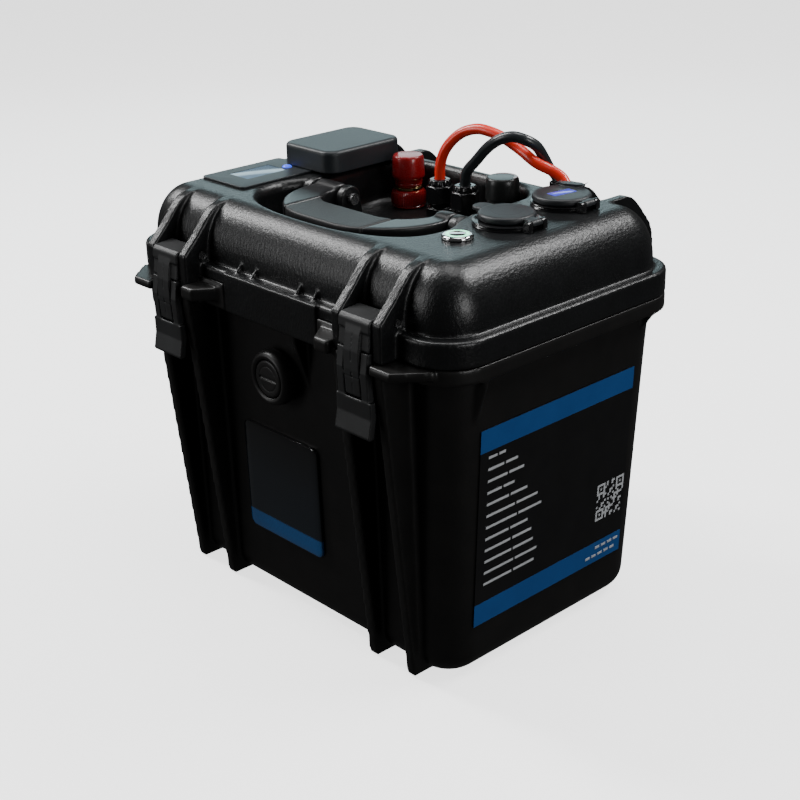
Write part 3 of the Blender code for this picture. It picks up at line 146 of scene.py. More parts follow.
def box(name, low, high, upright=0.0, top=0.0, steps=6, top_stretch=1.0):
    """Box with rounded upright and top edges; top_stretch makes the top rounding taller than wide."""
    low, high = Vector(low), Vector(high)
    size = high - low
    size.z /= top_stretch
    bm = bmesh.new()
    bmesh.ops.create_cube(bm, size=1.0)
    bmesh.ops.scale(bm, vec=size, verts=bm.verts)
    bmesh.ops.translate(bm, vec=(0, 0, size.z / 2), verts=bm.verts)
    if upright:
        round_edges(bm, uprights(bm), upright, steps)
    if top:
        edges = [e for e in bm.edges if all(abs(v.co.z - size.z) < 1e-6 for v in e.verts)
                 and len(e.link_faces) == 2]
        round_edges(bm, edges, top, steps)
    bmesh.ops.scale(bm, vec=(MM, MM, MM * top_stretch), verts=bm.verts)
    centre = (low + high) / 2
    bmesh.ops.translate(bm, vec=Vector((centre.x, centre.y, low.z)) * MM, verts=bm.verts)
    return from_bmesh(name, bm, smooth=False)


def rod(name, start, end, radius):
    start, end = Vector(start) * MM, Vector(end) * MM
    span = end - start
    bm = bmesh.new()
    bmesh.ops.create_cone(bm, cap_ends=True, segments=40, radius1=radius * MM, radius2=radius * MM,
                          depth=span.length)
    turn = Vector((0, 0, 1)).rotation_difference(span.normalized()).to_matrix().to_4x4()
    bmesh.ops.transform(bm, matrix=Matrix.Translation((start + end) / 2) @ turn, verts=bm.verts)
    return from_bmesh(name, bm, smooth=False)


AXES = {
    "z": Matrix.Identity(4),
    "x": Matrix(((0, 0, 1, 0), (1, 0, 0, 0), (0, 1, 0, 0), (0, 0, 0, 1))),
    "y": Matrix(((1, 0, 0, 0), (0, 0, -1, 0), (0, 1, 0, 0), (0, 0, 0, 1))),
}


def prism(name, outlines, low, high, axis="z"):
    curve = bpy.data.curves.new(name, "CURVE")
    curve.dimensions = "2D"
    curve.fill_mode = "BOTH"
    curve.extrude = (high - low) / 2 * MM
    for outline in outlines:
        spline = curve.splines.new("POLY")
        spline.points.add(len(outline) - 1)
        for point, (u, v) in zip(spline.points, outline):
            point.co = (u * MM, v * MM, 0, 1)
        spline.use_cyclic_u = True
    shape = link(name + "_outline", curve)
    direction = -1 if axis == "y" else 1
    shape.matrix_world = AXES[axis] @ Matrix.Translation((0, 0, direction * (low + high) / 2 * MM))
    mesh = evaluated_mesh(shape)
    matrix = shape.matrix_world.copy()
    bpy.data.objects.remove(shape, do_unlink=True)
    bm = bmesh.new()
    bm.from_mesh(mesh)
    bpy.data.meshes.remove(mesh)
    bmesh.ops.remove_doubles(bm, verts=bm.verts, dist=1e-6)
    bmesh.ops.transform(bm, matrix=matrix, verts=bm.verts)
    return from_bmesh(name, bm, smooth=False)


def lathe(name, profile, centre=(0, 0, 0), axis="z", steps=72, flutes=None):
    """Profile of (radius, height) spun about an axis.

    flutes is (low, high, count, depth, radius): grooves in what lies outside the radius.
    """
    bm = bmesh.new()
    closed = profile[0] == profile[-1]
    points = profile[:-1] if closed else profile
    rings = []
    for r, h in points:
        if r < 1e-6:
            rings.append([bm.verts.new((0, 0, h * MM))])
            continue
        ring = []
        for i in range(steps):
            angle = 2 * math.pi * i / steps
            radius = r
            if flutes and flutes[0] <= h <= flutes[1] and r > flutes[4]:
                radius -= flutes[3] * (0.5 + 0.5 * math.cos(flutes[2] * angle))
            ring.append(bm.verts.new((radius * MM * math.cos(angle), radius * MM * math.sin(angle), h * MM)))
        rings.append(ring)
    pairs = list(zip(rings, rings[1:] + ([rings[0]] if closed else [])))
    if not closed:
        pairs = pairs[:len(rings) - 1]
    for a, b in pairs:
        for i in range(steps):
            j = (i + 1) % steps
            if len(a) == 1 and len(b) == 1:
                continue
            if len(a) == 1:
                bm.faces.new((a[0], b[i], b[j]))
            elif len(b) == 1:
                bm.faces.new((a[i], b[0], a[j]))
            else:
                bm.faces.new((a[i], b[i], b[j], a[j]))
    if axis == "front":
        bmesh.ops.transform(bm, matrix=Matrix.Rotation(math.radians(90), 4, "X"), verts=bm.verts)
    bmesh.ops.translate(bm, vec=Vector(centre) * MM, verts=bm.verts)
    piece = from_bmesh(name, bm)
    piece.data.set_sharp_from_angle(angle=math.radians(38))
    return piece


def arc(centre, radius, start, end, steps):
    points = []
    for i in range(steps + 1):
        angle = math.radians(start + (end - start) * i / steps)
        points.append((centre[0] + radius * math.cos(angle), centre[1] + radius * math.sin(angle)))
    return points


def rounded_outline(low, high, radius, steps=8):
    (x0, y0), (x1, y1) = low, high
    return (arc((x1 - radius, y0 + radius), radius, -90, 0, steps)
            + arc((x1 - radius, y1 - radius), radius, 0, 90, steps)
            + arc((x0 + radius, y1 - radius), radius, 90, 180, steps)
            + arc((x0 + radius, y0 + radius), radius, 180, 270, steps))


def merged(name, pieces):
    bm = bmesh.new()
    for piece in pieces:
        bm.from_mesh(piece.data)
        bpy.data.objects.remove(piece, do_unlink=True)
    return from_bmesh(name, bm, smooth=False)


def settle(piece):
    """Turn the modifiers into plain mesh."""
    mesh = evaluated_mesh(piece)
    piece.modifiers.clear()
    old = piece.data
    piece.data = mesh
    if old.users == 0:
        bpy.data.meshes.remove(old)
    return piece


def combine(piece, tool, operation):
    modifier = piece.modifiers.new("boolean", "BOOLEAN")
    modifier.operation = operation
    modifier.solver = "EXACT"
    modifier.use_self = operation == "UNION"
    modifier.object = tool
    settle(piece)
    bpy.data.objects.remove(tool, do_unlink=True)
    return piece


def cut(piece, tool):
    return combine(piece, tool, "DIFFERENCE")


def fuse(piece, tool):
    return combine(piece, tool, "UNION")


def mould(piece, voxel, passes):
    """Rebuild as an even skin with slightly rounded edges, as a moulding has."""
    remesh = piece.modifiers.new("skin", "REMESH")
    remesh.mode = "VOXEL"
    remesh.voxel_size = voxel * MM * 1.0
    smooth = piece.modifiers.new("soft edges", "SMOOTH")
    smooth.factor = 0.5
    smooth.iterations = passes
    settle(piece)
    piece.data.shade_smooth()
    return piece


def crisp(piece, degrees):
    """Smooth shading that keeps edges sharper than the angle."""
    piece.data.shade_smooth()
    piece.data.set_sharp_from_angle(angle=math.radians(degrees))


def bevelled(piece, width, segments=3):
    bevel = piece.modifiers.new("edges", "BEVEL")
    bevel.width = width * MM
    bevel.segments = segments
    bevel.limit_method = "ANGLE"
    bevel.angle_limit = math.radians(35)
    bevel.harden_normals = False
    settle(piece)
    crisp(piece, 32)
    return piece


def dress(piece, mat, body, slot, *nodes):
    """Give a finished piece its material and body, and hide the CAD nodes it stands for; the slot argument
    is not used.
    """
    piece.data.materials.clear()
    piece.data.materials.append(mat)
    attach(piece, body)
    if nodes:
        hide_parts(*nodes)
    return piece


# ------------------------------------------------------------------ materials

class Shader:
    """Small wrapper that builds a node material step by step."""

    def __init__(self, name):
        self.mat = bpy.data.materials.new(name)
        self.mat.use_nodes = True
        self.tree = self.mat.node_tree
        self.main = self.tree.nodes["Principled BSDF"]
        self.place = self.node("ShaderNodeTexCoord").outputs["Object"]

    def node(self, kind, **values):
        made = self.tree.nodes.new(kind)
        for key, value in values.items():
            if key in made.inputs:
                made.inputs[key].default_value = value
            else:
                setattr(made, key, value)
        return made

    def join(self, out, into):
        self.tree.links.new(out, into)

    def put(self, name, value):
        self.main.inputs[name].default_value = value

    def feed(self, name, out):
        self.join(out, self.main.inputs[name])

    def scaled(self, size_mm, stretch):
        mapping = self.node("ShaderNodeMapping")
        mapping.inputs["Scale"].default_value = [1.0 / (size_mm * MM) / s for s in stretch]
        self.join(self.place, mapping.inputs["Vector"])
        return mapping.outputs["Vector"]

    def noise(self, size_mm, detail=3.0, stretch=(1, 1, 1), rough=0.55):
        made = self.node("ShaderNodeTexNoise", Scale=1.0, Detail=detail, Roughness=rough)
        self.join(self.scaled(size_mm, stretch), made.inputs["Vector"])
        return made.outputs["Fac"]

    def cells(self, size_mm, stretch=(1, 1, 1)):
        made = self.node("ShaderNodeTexVoronoi", Scale=1.0)
        self.join(self.scaled(size_mm, stretch), made.inputs["Vector"])
        return made.outputs["Distance"]

    def spread(self, value, low, high, start=0.0, end=1.0):
        made = self.node("ShaderNodeMapRange")
        for key, limit in (("From Min", start), ("From Max", end), ("To Min", low), ("To Max", high)):
            made.inputs[key].default_value = limit
        self.join(value, made.inputs["Value"])
        return made.outputs["Result"]

    def mix(self, factor, first, second):
        made = self.node("ShaderNodeMix")
        made.data_type = "RGBA"
        made.inputs["A"].default_value = (*first, 1)
        made.inputs["B"].default_value = (*second, 1)
        self.join(factor, made.inputs["Factor"])
        return made.outputs["Result"]

    def bump(self, heights):
        """heights: list of (value output, strength, depth in mm)."""
        normal = None
        for value, strength, depth in heights:
            made = self.node("ShaderNodeBump", Strength=strength, Distance=depth * MM)
            self.join(value, made.inputs["Height"])
            if normal is not None:
                self.join(normal, made.inputs["Normal"])
            normal = made.outputs["Normal"]
        self.feed("Normal", normal)


def plastic(name, dark, light, rough, grain_mm=0.7, grain=0.25, depth=0.12, stretch=(1, 1, 1),
            coat=0.0, leather=0.0):
    s = Shader(name)
    s.feed("Base Color", s.mix(s.spread(s.noise(18.0, 4.0), 0, 1, 0.3, 0.7), dark, light))
    fine = s.noise(grain_mm, 3.0, stretch, 0.6)
    s.feed("Roughness", s.spread(fine, rough[0], rough[1], 0.25, 0.75))
    heights = [(fine, grain, depth)]
    if leather:
        heights.append((s.cells(grain_mm * 2.4, stretch), leather, depth * 1.5))
    s.bump(heights)
    s.put("Coat Weight", coat)
    s.put("Coat Roughness", 0.12)
    return s.mat


def metal(name, colour, rough, streak=(1, 1, 1)):
    s = Shader(name)
    fine = s.noise(0.35, 2.0, streak)
    s.feed("Base Color", s.mix(fine, [c * 0.85 for c in colour], colour))
    s.feed("Roughness", s.spread(fine, rough - 0.06, rough + 0.08, 0.3, 0.7))
    s.put("Metallic", 1.0)
    s.bump([(fine, 0.06, 0.03)])
    return s.mat


def glow(name, colour, strength, rough=0.15):
    s = Shader(name)
    cloud = s.noise(3.0, 2.0)
    s.feed("Base Color", s.mix(cloud, [c * 0.7 for c in colour], colour))
    s.put("Roughness", rough)
    s.feed("Emission Color", s.mix(cloud, [c * 0.4 for c in colour], colour))
    s.put("Emission Strength", strength)
    return s.mat


LID = plastic("lid plastic", (0.0035, 0.0038, 0.0042), (0.006, 0.0066, 0.0072), (0.26, 0.4),
              0.6, 0.75, 0.2, (1, 2.6, 2.6), leather=0.35)
CASE = plastic("case plastic", (0.004, 0.0038, 0.0037), (0.0072, 0.0067, 0.0064), (0.34, 0.46),
               0.5, 0.2, 0.06)
LATCH = plastic("latch plastic", (0.012, 0.0125, 0.013), (0.02, 0.021, 0.022), (0.42, 0.55),
                0.45, 0.3, 0.08)
HANDLE = plastic("handle plastic", (0.006, 0.006, 0.0065), (0.01, 0.01, 0.011), (0.3, 0.4),
                 0.4, 0.12, 0.04)
GRIP = plastic("grip rubber", (0.008, 0.008, 0.0085), (0.014, 0.014, 0.015), (0.45, 0.6),
               0.6, 0.5, 0.14, leather=0.5)
VALVE = plastic("valve plastic", (0.007, 0.007, 0.007), (0.012, 0.011, 0.011), (0.38, 0.5), 0.4, 0.2, 0.05)
RUBBER = plastic("seal rubber", (0.012, 0.012, 0.012), (0.02, 0.02, 0.02), (0.6, 0.75), 0.5, 0.2, 0.05)
SLATE = plastic("display plastic", (0.009, 0.012, 0.0145), (0.014, 0.0185, 0.022), (0.4, 0.52),
                0.35, 0.2, 0.05)
SOCKET = plastic("socket plastic", (0.006, 0.006, 0.0065), (0.01, 0.01, 0.011), (0.16, 0.26),
                 0.5, 0.06, 0.03)
CAP = plastic("cap plastic", (0.011, 0.013, 0.015), (0.017, 0.02, 0.023), (0.4, 0.52), 0.35, 0.18, 0.04)
GLAND = plastic("gland nylon", (0.005, 0.005, 0.0055), (0.009, 0.009, 0.01), (0.14, 0.24), 0.6, 0.08, 0.03)
KNOB = plastic("black knob", (0.008, 0.009, 0.009), (0.013, 0.014, 0.014), (0.26, 0.38), 0.4, 0.12, 0.04)
RED = plastic("red plastic", (0.2, 0.004, 0.006), (0.3, 0.008, 0.01), (0.22, 0.34), 0.5, 0.1, 0.03,
              coat=0.3)
RED_CABLE = plastic("red cable", (0.82, 0.03, 0.012), (0.92, 0.04, 0.018), (0.28, 0.36),
                    1.2, 0.06, 0.03, coat=0.3)
BLACK_CABLE = plastic("black cable", (0.012, 0.015, 0.017), (0.02, 0.024, 0.027), (0.26, 0.36),
                      1.2, 0.06, 0.03, coat=0.2)
CELL = plastic("cell wrap", (0.008, 0.06, 0.17), (0.012, 0.08, 0.22), (0.25, 0.35), 1.5, 0.08, 0.03,
               coat=0.3)
FOAM = plastic("foam", (0.04, 0.04, 0.042), (0.08, 0.08, 0.082), (0.85, 0.95), 1.0, 0.7, 0.3, leather=0.6)
MODULE = plastic("module casing", (0.01, 0.01, 0.011), (0.016, 0.016, 0.017), (0.5, 0.6), 0.5, 0.2, 0.06)
STEEL = metal("steel", (0.62, 0.62, 0.63), 0.24)
CHROME = metal("bright metal", (0.82, 0.82, 0.82), 0.1)
BRASS = metal("brass", (0.83, 0.62, 0.3), 0.2)
TINNED = metal("busbar metal", (0.75, 0.75, 0.76), 0.32, (6, 1, 1))
BLUE_LIGHT = glow("blue light", (0.06, 0.12, 0.9), 1.6)
GREEN_LIGHT = glow("green light", (0.3, 1.0, 0.6), 2.5)
WINDOW = glow("blue window", (0.07, 0.08, 0.6), 0.7, 0.1)
SCREEN = glow("screen glass", (0.16, 0.24, 0.32), 0.16, 0.12)
PRINT = plastic("pale print", (0.5, 0.52, 0.54), (0.6, 0.62, 0.64), (0.4, 0.5), 0.5, 0.05, 0.02)
PALE_EDGE = plastic("pale edge", (0.6, 0.63, 0.66), (0.7, 0.73, 0.76), (0.2, 0.3), 0.5, 0.05, 0.02)
BLUE_BAND = plastic("blue band", (0.01, 0.075, 0.26), (0.012, 0.085, 0.29), (0.3, 0.4), 0.8, 0.05, 0.02)
LABEL = plastic("label film", (0.0035, 0.0035, 0.004), (0.006, 0.006, 0.0065), (0.3, 0.4), 0.8, 0.05, 0.02)


def badge_material():
    """Dark domed resin that turns blue in a band along the bottom."""
    s = Shader("badge resin")
    split = s.node("ShaderNodeSeparateXYZ")
    s.join(s.place, split.inputs["Vector"])
    ramp = s.node("ShaderNodeValToRGB")
    stops = ramp.color_ramp.elements
    stops[0].position, stops[0].color = 0.0, (0.012, 0.12, 0.36, 1)
    stops[1].position, stops[1].color = 1.0, (0.003, 0.003, 0.004, 1)
    for place, colour in ((0.155, (0.012, 0.12, 0.36, 1)), (0.17, (0.006, 0.012, 0.02, 1)),
                          (0.55, (0.008, 0.012, 0.018, 1))):
        stop = stops.new(place)
        stop.color = colour
    s.join(s.spread(split.outputs["Z"], 0.0, 1.0, BADGE_LOW[1] * MM, BADGE_HIGH[1] * MM), ramp.inputs["Fac"])
    s.feed("Base Color", ramp.outputs["Color"])
    s.put("Roughness", 0.12)
    s.put("Coat Weight", 1.0)
    s.put("Coat Roughness", 0.03)
    s.bump([(s.noise(30.0, 1.0), 0.05, 0.2)])
    return s.mat


# ----------------------------------------------------------------- the case

def tub(name, wall_inset, floor, top, steps):
    """Drafted closed block in the shape of the tub, shrunk by the wall's thickness."""
    bm = bmesh.new()
    bmesh.ops.create_cube(bm, size=1.0)
    for vert in bm.verts:
        up = vert.co.z > 0
        half = TUB_TOP_HALF if up else TUB_FOOT_HALF
        vert.co.x = math.copysign(half[0] - wall_inset, vert.co.x)
        vert.co.y = math.copysign(half[1] - wall_inset, vert.co.y)
        vert.co.z = top if up else floor
    round_edges(bm, uprights(bm), 23.0 - wall_inset, steps)
    foot = [e for e in bm.edges if all(abs(v.co.z - floor) < 1e-4 for v in e.verts)]
    round_edges(bm, foot, 16.0 - wall_inset, steps)
    bmesh.ops.scale(bm, vec=(MM, MM, MM), verts=bm.verts)
    return from_bmesh(name, bm, smooth=False)


def pair(side, low, high):
    return sorted((side * low, side * high))


def build_case():
    base = tub("case_body", 0.0, 0.0, RIM_TOP, 12)
    corner = (-RIM_HALF[0], -RIM_HALF[1])
    solids = [prism("rim", [rounded_outline(corner, RIM_HALF, 29.0, 12)], RIM_BOTTOM, RIM_TOP)]
    rib = [(-88.0, RIM_TOP), (-RIB_FRONT, RIM_TOP), (-RIB_FRONT, RIM_BOTTOM), (-94.0, 0.0), (-76.0, 0.0),
           (-84.0, 14.0)]
    boss = arc(HINGE, 8.5, -20, 160, 18)
    hinge_rib = [(88.0, RIM_TOP), (84.0, 14.0), (76.0, 0.0), (94.0, 0.0)] + boss + [(104.0, RIM_TOP)]
    for side in (-1, 1):
        for x in RIB_X:
            low, high = pair(side, x - RIB_THICK / 2, x + RIB_THICK / 2)
            solids.append(prism("rib", [rib], low, high, "x"))
            solids.append(prism("rib", [hinge_rib], low, high, "x"))
        x0, x1 = pair(side, RIB_X[0] + 2, RIB_X[1] - 2)
        solids.append(box("strike", (x0, -103.0, 176.0), (x1, -88.0, 183.0)))
        outer = ((104.0, -98.0), (104.0, -119.3), (121.0, -119.3), (137.0, -100.5), (132.0, -95.0))
        inner = ((46.5, -102.9), (58.5, -119.3), (70.0, -119.3), (70.0, -102.9))
        for wing, low, high in ((outer, 203.6, RIM_TOP), (inner, 206.5, 214.8)):
            solids.append(prism("wing", [[(side * x, y) for x, y in wing]], low, high))
        x0, x1 = pair(side, 44.2, 70.0)
        for back, top in ((-102.8, 218.4), (-100.0, 208.9)):
            solids.append(box("apron", (x0, -104.8, 200.4), (x1, back, top)))
        for y, outer_z, foot in ((-72.5, 196.0, (138.5, 165.0)), (72.5, 199.0, (140.0, 186.0))):
            gusset = [(side * x, z) for x, z in ((139.0, 204.0), (149.5, 204.0), (149.0, outer_z), foot)]
            solids.append(prism("gusset", [gusset], y - 1.7, y + 1.7, "y"))
    gusset = [(-88.0, 205.0), (-102.0, 205.0), (-102.0, 196.0), (-90.0, 157.0)]
    solids.append(prism("gusset", [gusset], 16.3, 19.7, "x"))
    base = fuse(base, merged("solids", solids))
    inside = tub("inside", WALL, WALL, 240.0, 8)
    cut(base, inside)
    pins = [rod("pin", (side * 60, *HINGE), (side * 125, *HINGE), 2.6) for side in (-1, 1)]
    cut(base, merged("pins", pins))
    mould(base, 1.15, 3)
    return dress(base, CASE, "case", "case_plastic", "case_base")


# ------------------------------------------------------------------ the lid

def well_outline(margin=0.0):
    half, front, radius, back = 64.0 + margin, 75.0 + margin, 28.0 + margin, 69.0 + margin
    step = [(half, 0.0), (half + 0.6, -4.0), (half + 1.8, -9.0), (half + 4.0, -14.0), (half + 7.0, -19.0),
            (front - 1.5, -25.0), (front - 0.3, -30.0)]
    points = arc((half - radius, back - radius), radius, 0, 90, 12)
    points += [(-x, y) for x, y in points[::-1]]
    points += [(-x, y) for x, y in step]
    for i in range(41):
        angle = math.pi * i / 40
        across, along = math.cos(angle), math.sin(angle)
        x = -front * math.copysign(abs(across) ** 0.8, across)
        points.append((x, -34.0 - (39.0 + margin) * along ** 0.8))
    return points + step[::-1]


def well_cutter():
    """Well with a rounded floor edge and a soft flared lip."""
    layers = [(-5.5, WELL_FLOOR), (-3.0, WELL_FLOOR + 0.7), (-1.0, WELL_FLOOR + 2.6),
              (0.0, WELL_FLOOR + 5.5), (0.3, LID_TOP - 6.0), (0.8, LID_TOP - 3.6),
              (1.9, LID_TOP - 1.6), (3.8, LID_TOP - 0.25), (5.2, LID_TOP + 0.4), (5.4, LID_TOP + 8.0)]
    bm = bmesh.new()
    rings = []
    for margin, z in layers:
        rings.append([bm.verts.new((x * MM, y * MM, z * MM)) for x, y in well_outline(margin)])
    count = len(rings[0])
    for a, b in zip(rings, rings[1:]):
        for i in range(count):
            j = (i + 1) % count
            bm.faces.new((a[i], a[j], b[j], b[i]))
    bm.faces.new(rings[0][::-1])
    bm.faces.new(rings[-1])
    return from_bmesh("well", bm, smooth=False)


def rib_prism(outline, x, half):
    return prism("rib", [outline], x - half, x + half, "x")


def build_lid():
    half_x, half_y = DOME_HALF
    stretch = DOME_SHOULDER[1] / DOME_SHOULDER[0]
    lid = box("lid_moulding", (-half_x, -half_y, 212.0), (half_x, half_y, LID_TOP), upright=26.0,
              top=DOME_SHOULDER[0], steps=16, top_stretch=stretch)
    skirt = box("skirt", (-RIM_HALF[0], -RIM_HALF[1], SKIRT_BOTTOM), (*RIM_HALF, SKIRT_TOP), upright=29.0,
                top=2.2, steps=10)
    front = [(-60.0, 250.0), (-61.5, 261.8), (-74.0, 261.8), (-82.0, 261.0), (-87.0, 259.4), (-90.6, 257.4),
             (-95.1, 252.9), (-103.0, 243.7), (-RIB_FRONT, 232.0), (-RIB_FRONT, SKIRT_BOTTOM),
             (-95.0, SKIRT_BOTTOM), (-86.0, 232.0)]
    rear = ([(64.0, 252.0), (86.0, 232.0), (94.0, SKIRT_BOTTOM + 1), (104.0, SKIRT_BOTTOM + 1)]
            + arc(HINGE, 9.3, 160, 70, 14)
            + [(122.4, 218.0), (121.8, 227.5), (120.6, 234.0), (118.0, 240.2), (109.9, 249.7),
               (103.6, 256.6), (99.0, 260.0), (94.0, 261.6), (68.0, 261.7)])
    knuckle = ([(80.0, 243.0), (86.0, 232.0), (94.0, SKIRT_BOTTOM + 1), (104.0, SKIRT_BOTTOM + 1)]
               + arc(HINGE, 8.5, 10, -150, 16)[::-1]
               + [(127.0, 214.0), (122.0, 224.0), (108.0, 240.0), (90.0, 250.0)])
    solids = [skirt]
    for side in (-1, 1):
        for x in RIB_X:
            solids.append(rib_prism(front, side * x, RIB_THICK / 2))
            solids.append(rib_prism(rear, side * x, RIB_THICK / 2))
        for x in (81.0, 97.7):
            solids.append(rib_prism(knuckle, side * x, 3.25))
    for x in (-36, -21, 21, 36):
        solids.append(prism("fin", [[(-92.0, 223.5), (-101.8, 223.5), (-101.8, 225.0), (-94.0, 233.2)]],
                            x - 1.1, x + 1.1, "x"))
    solids.append(box("pad", (-43.6, -104.8, SKIRT_BOTTOM), (43.6, -98.0, SKIRT_TOP)))
    solids.append(box("pad", (-43.6, -104.8, 200.4), (43.6, -102.8, 212.0)))
    fuse(lid, merged("solids", solids))
    inner = box("inner", (-half_x + WALL, -half_y + WALL, 190.0),
                (half_x - WALL, half_y - WALL, LID_TOP - WALL),
                upright=22.5, top=DOME_SHOULDER[0] - WALL, steps=10, top_stretch=stretch)
    cut(inner, prism("tray", [well_outline(3.0)], WELL_FLOOR - 3.0, 300.0))
    cut(lid, inner)
    cut(lid, well_cutter())
    lugs = []
    for low, high in LUG_SPANS:
        y, z = HANDLE_PIVOT
        outline = [(y - 11, WELL_FLOOR - 1), (y + 11, WELL_FLOOR - 1)] + arc((y, z), 8.0, 0, 180, 20)
        lugs.append(prism("lug", [outline], low, high, "x"))
    fuse(lid, merged("lugs", lugs))
    holes = [rod("hole", (x, ROW_Y, 225), (x, ROW_Y, 240), 4.3) for x in POST_X.values()]
    holes += [rod("hole", (x, ROW_Y, 225), (x, ROW_Y, 240), 6.3) for x in GLAND_X.values()]
    for (x, y), radius in ((BUTTON_AT, 8.3), (SOCKET_AT, 14.3), (USB_AT, 14.3)):
        holes.append(rod("hole", (x, y, 250), (x, y, 270), radius))
    holes.append(box("hole", (-117.0, -52.0, 250), (-85.0, 0.0, 270)))
    holes.append(box("hole", (-101.0, 22.0, 250), (-82.0, 48.0, 270)))
    holes.append(box("hole", (65.7, 72.7, 240), (84.3, 80.8, 270)))
    cut(lid, merged("holes", holes))
    pins = []
    for side in (-1, 1):
        for near, far, at, radius in ((60, 116, LATCH_PIN, LATCH_PIN_HOLE), (60, 125, HINGE, 2.6),
                                      (28, 71, HANDLE_PIVOT, HANDLE_HOLE_RADIUS)):
            pins.append(rod("pin", (side * near, *at), (side * far, *at), radius))
    cut(lid, merged("pins", pins))
    outlines = [rounded_outline((-h[0], -h[1]), h, r, 8) for h, r in
                (((144.2, 96.7), 23.0), ((148.2, 100.7), 27.0))]
    cut(lid, prism("groove", outlines, SKIRT_BOTTOM - 5, SKIRT_BOTTOM + 3.3))
    mould(lid, 0.85, 3)
    return dress(lid, LID, "lid", "lid_plastic", "lid_shell")


# --------------------------------------------------------------- the latches

def build_latch(name, side):
    centre = side * LATCH_X
    head = arc(LATCH_PIN, LATCH_EYE_RADIUS, 90, -90, 14)
    head += [(-108.0, 226.4), (-111.3, 225.8), (-115.9, 225.8), (-115.6, 231.5), (-113.6, 233.6)]
    strap = [(-112.0, 232.5), (-114.9, 232.5), (-116.9, 224.0), (-118.4, 214.0), (-118.6, 203.0),
             (-117.6, 187.6), (-113.6, 187.6), (-114.2, 203.0), (-113.8, 214.0), (-111.3, 226.5)]
    band = prism("latch_link", [head], centre - LATCH_HALF, centre + LATCH_HALF, "x")
    fuse(band, prism("band", [strap], centre - 6.3, centre + 6.3, "x"))
    web = [(-112.4, 227.0), (-115.0, 227.0), (-116.4, 215.4), (-114.9, 215.4)]
    fuse(band, prism("web", [web], centre - 12.45, centre + 12.45, "x"))
    line = [(-119.5, 188.0), (-117.1, 188.0), (-118.1, 203.0), (-117.9, 214.0), (-116.4, 224.0),
            (-119.5, 226.0)]
    cut(band, prism("line", [line], centre - 0.45, centre + 0.45, "x"))
    holes = [rod("hole", (centre - 20, *at), (centre + 20, *at), radius)
             for at, radius in ((LATCH_PIN, LATCH_PIN_HOLE), (LEVER_PIVOT, 1.8))]
    cut(band, merged("holes", holes))
    mould(band, 0.45, 3)
    dress(band, LATCH, "latch_link_" + name, "latch_plastic", "latch_link_" + name)
    band.name = "latch_band_" + name

    cheek = [(-117.0, 214.6), (-118.5, 203.0), (-117.5, 184.5), (-112.8, 184.5), (-113.4, 203.0),
             (-112.8, 214.6)]
    grip = [(-117.9, 186.0), (-117.6, 176.0), (-119.8, 165.0), (-118.8, 163.5), (-115.6, 164.2),
            (-113.4, 176.0), (-113.7, 186.0)]
    nose = [(-115.0, 184.6), (-115.0, 177.5), (-110.0, 177.0), (-104.0, 178.5), (-103.5, 181.0),
            (-109.0, 184.6)]
    lever = prism("lever", [grip], centre - 14.4, centre + 14.4, "x")
    tools = [prism("cheek", [cheek], centre + a, centre + b, "x") for a, b in ((-12.6, -6.9), (6.9, 12.6))]
    tools.append(prism("nose", [nose], centre - 10, centre + 10, "x"))
    tools.append(rod("trunnion", (centre - 9, *LEVER_PIVOT), (centre + 9, *LEVER_PIVOT), 1.7))
    fuse(lever, merged("tools", tools))
    mould(lever, 0.5, 3)
    dress(lever, LATCH, "latch_lever_" + name, "latch_plastic", "latch_lever_" + name)
    lever.name = "latch_grip_" + name


# ---------------------------------------------------------------- the handle

def handle_outline():
    y = HANDLE_PIVOT[0]
    x, bend_y, radius = HANDLE_BEND
    outer = arc((x, bend_y), radius, 0, -90, 16) + arc((-x, bend_y), radius, -90, -180, 16)
    inner = arc((-20.0, -17.0), 20.0, 180, 270, 10) + arc((21.0, -9.0), 28.0, 270, 359, 12)
    return [(61.0, y)] + outer + [(-61.0, y), (-40.0, y)] + inner + [(49.0, y)]


def build_handle():
    whole = prism("handle", [handle_outline()], *HANDLE_Z)
    bosses = [rod("boss", (low, *HANDLE_PIVOT), (high, *HANDLE_PIVOT), 8.2)
              for low, high in ((-61.0, -40.0), (49.0, 61.0))]
    fuse(whole, merged("bosses", bosses))
    holes = [rod("hole", (side * 28, *HANDLE_PIVOT), (side * 71, *HANDLE_PIVOT), HANDLE_HOLE_RADIUS)
             for side in (-1, 1)]
    cut(whole, merged("holes", holes))
    grip = whole.copy()
    grip.data = whole.data.copy()
    bpy.context.scene.collection.objects.link(grip)
    combine(grip, box("waist", (-34.85, -80, 230), (34.85, -20, 270)), "INTERSECT")
    cut(whole, box("waist", (-35.15, -80, 230), (35.15, -20, 270)))
    mould(whole, 0.7, 40)
    mould(grip, 0.7, 30)
    dress(whole, HANDLE, "handle", "handle_plastic", "handle_frame")
    whole.name = "handle_arms"
    dress(grip, GRIP, "handle", "grip_rubber", "handle_grip")
    grip.name = "handle_sleeve"


# ------------------------------------------------------------- the terminals

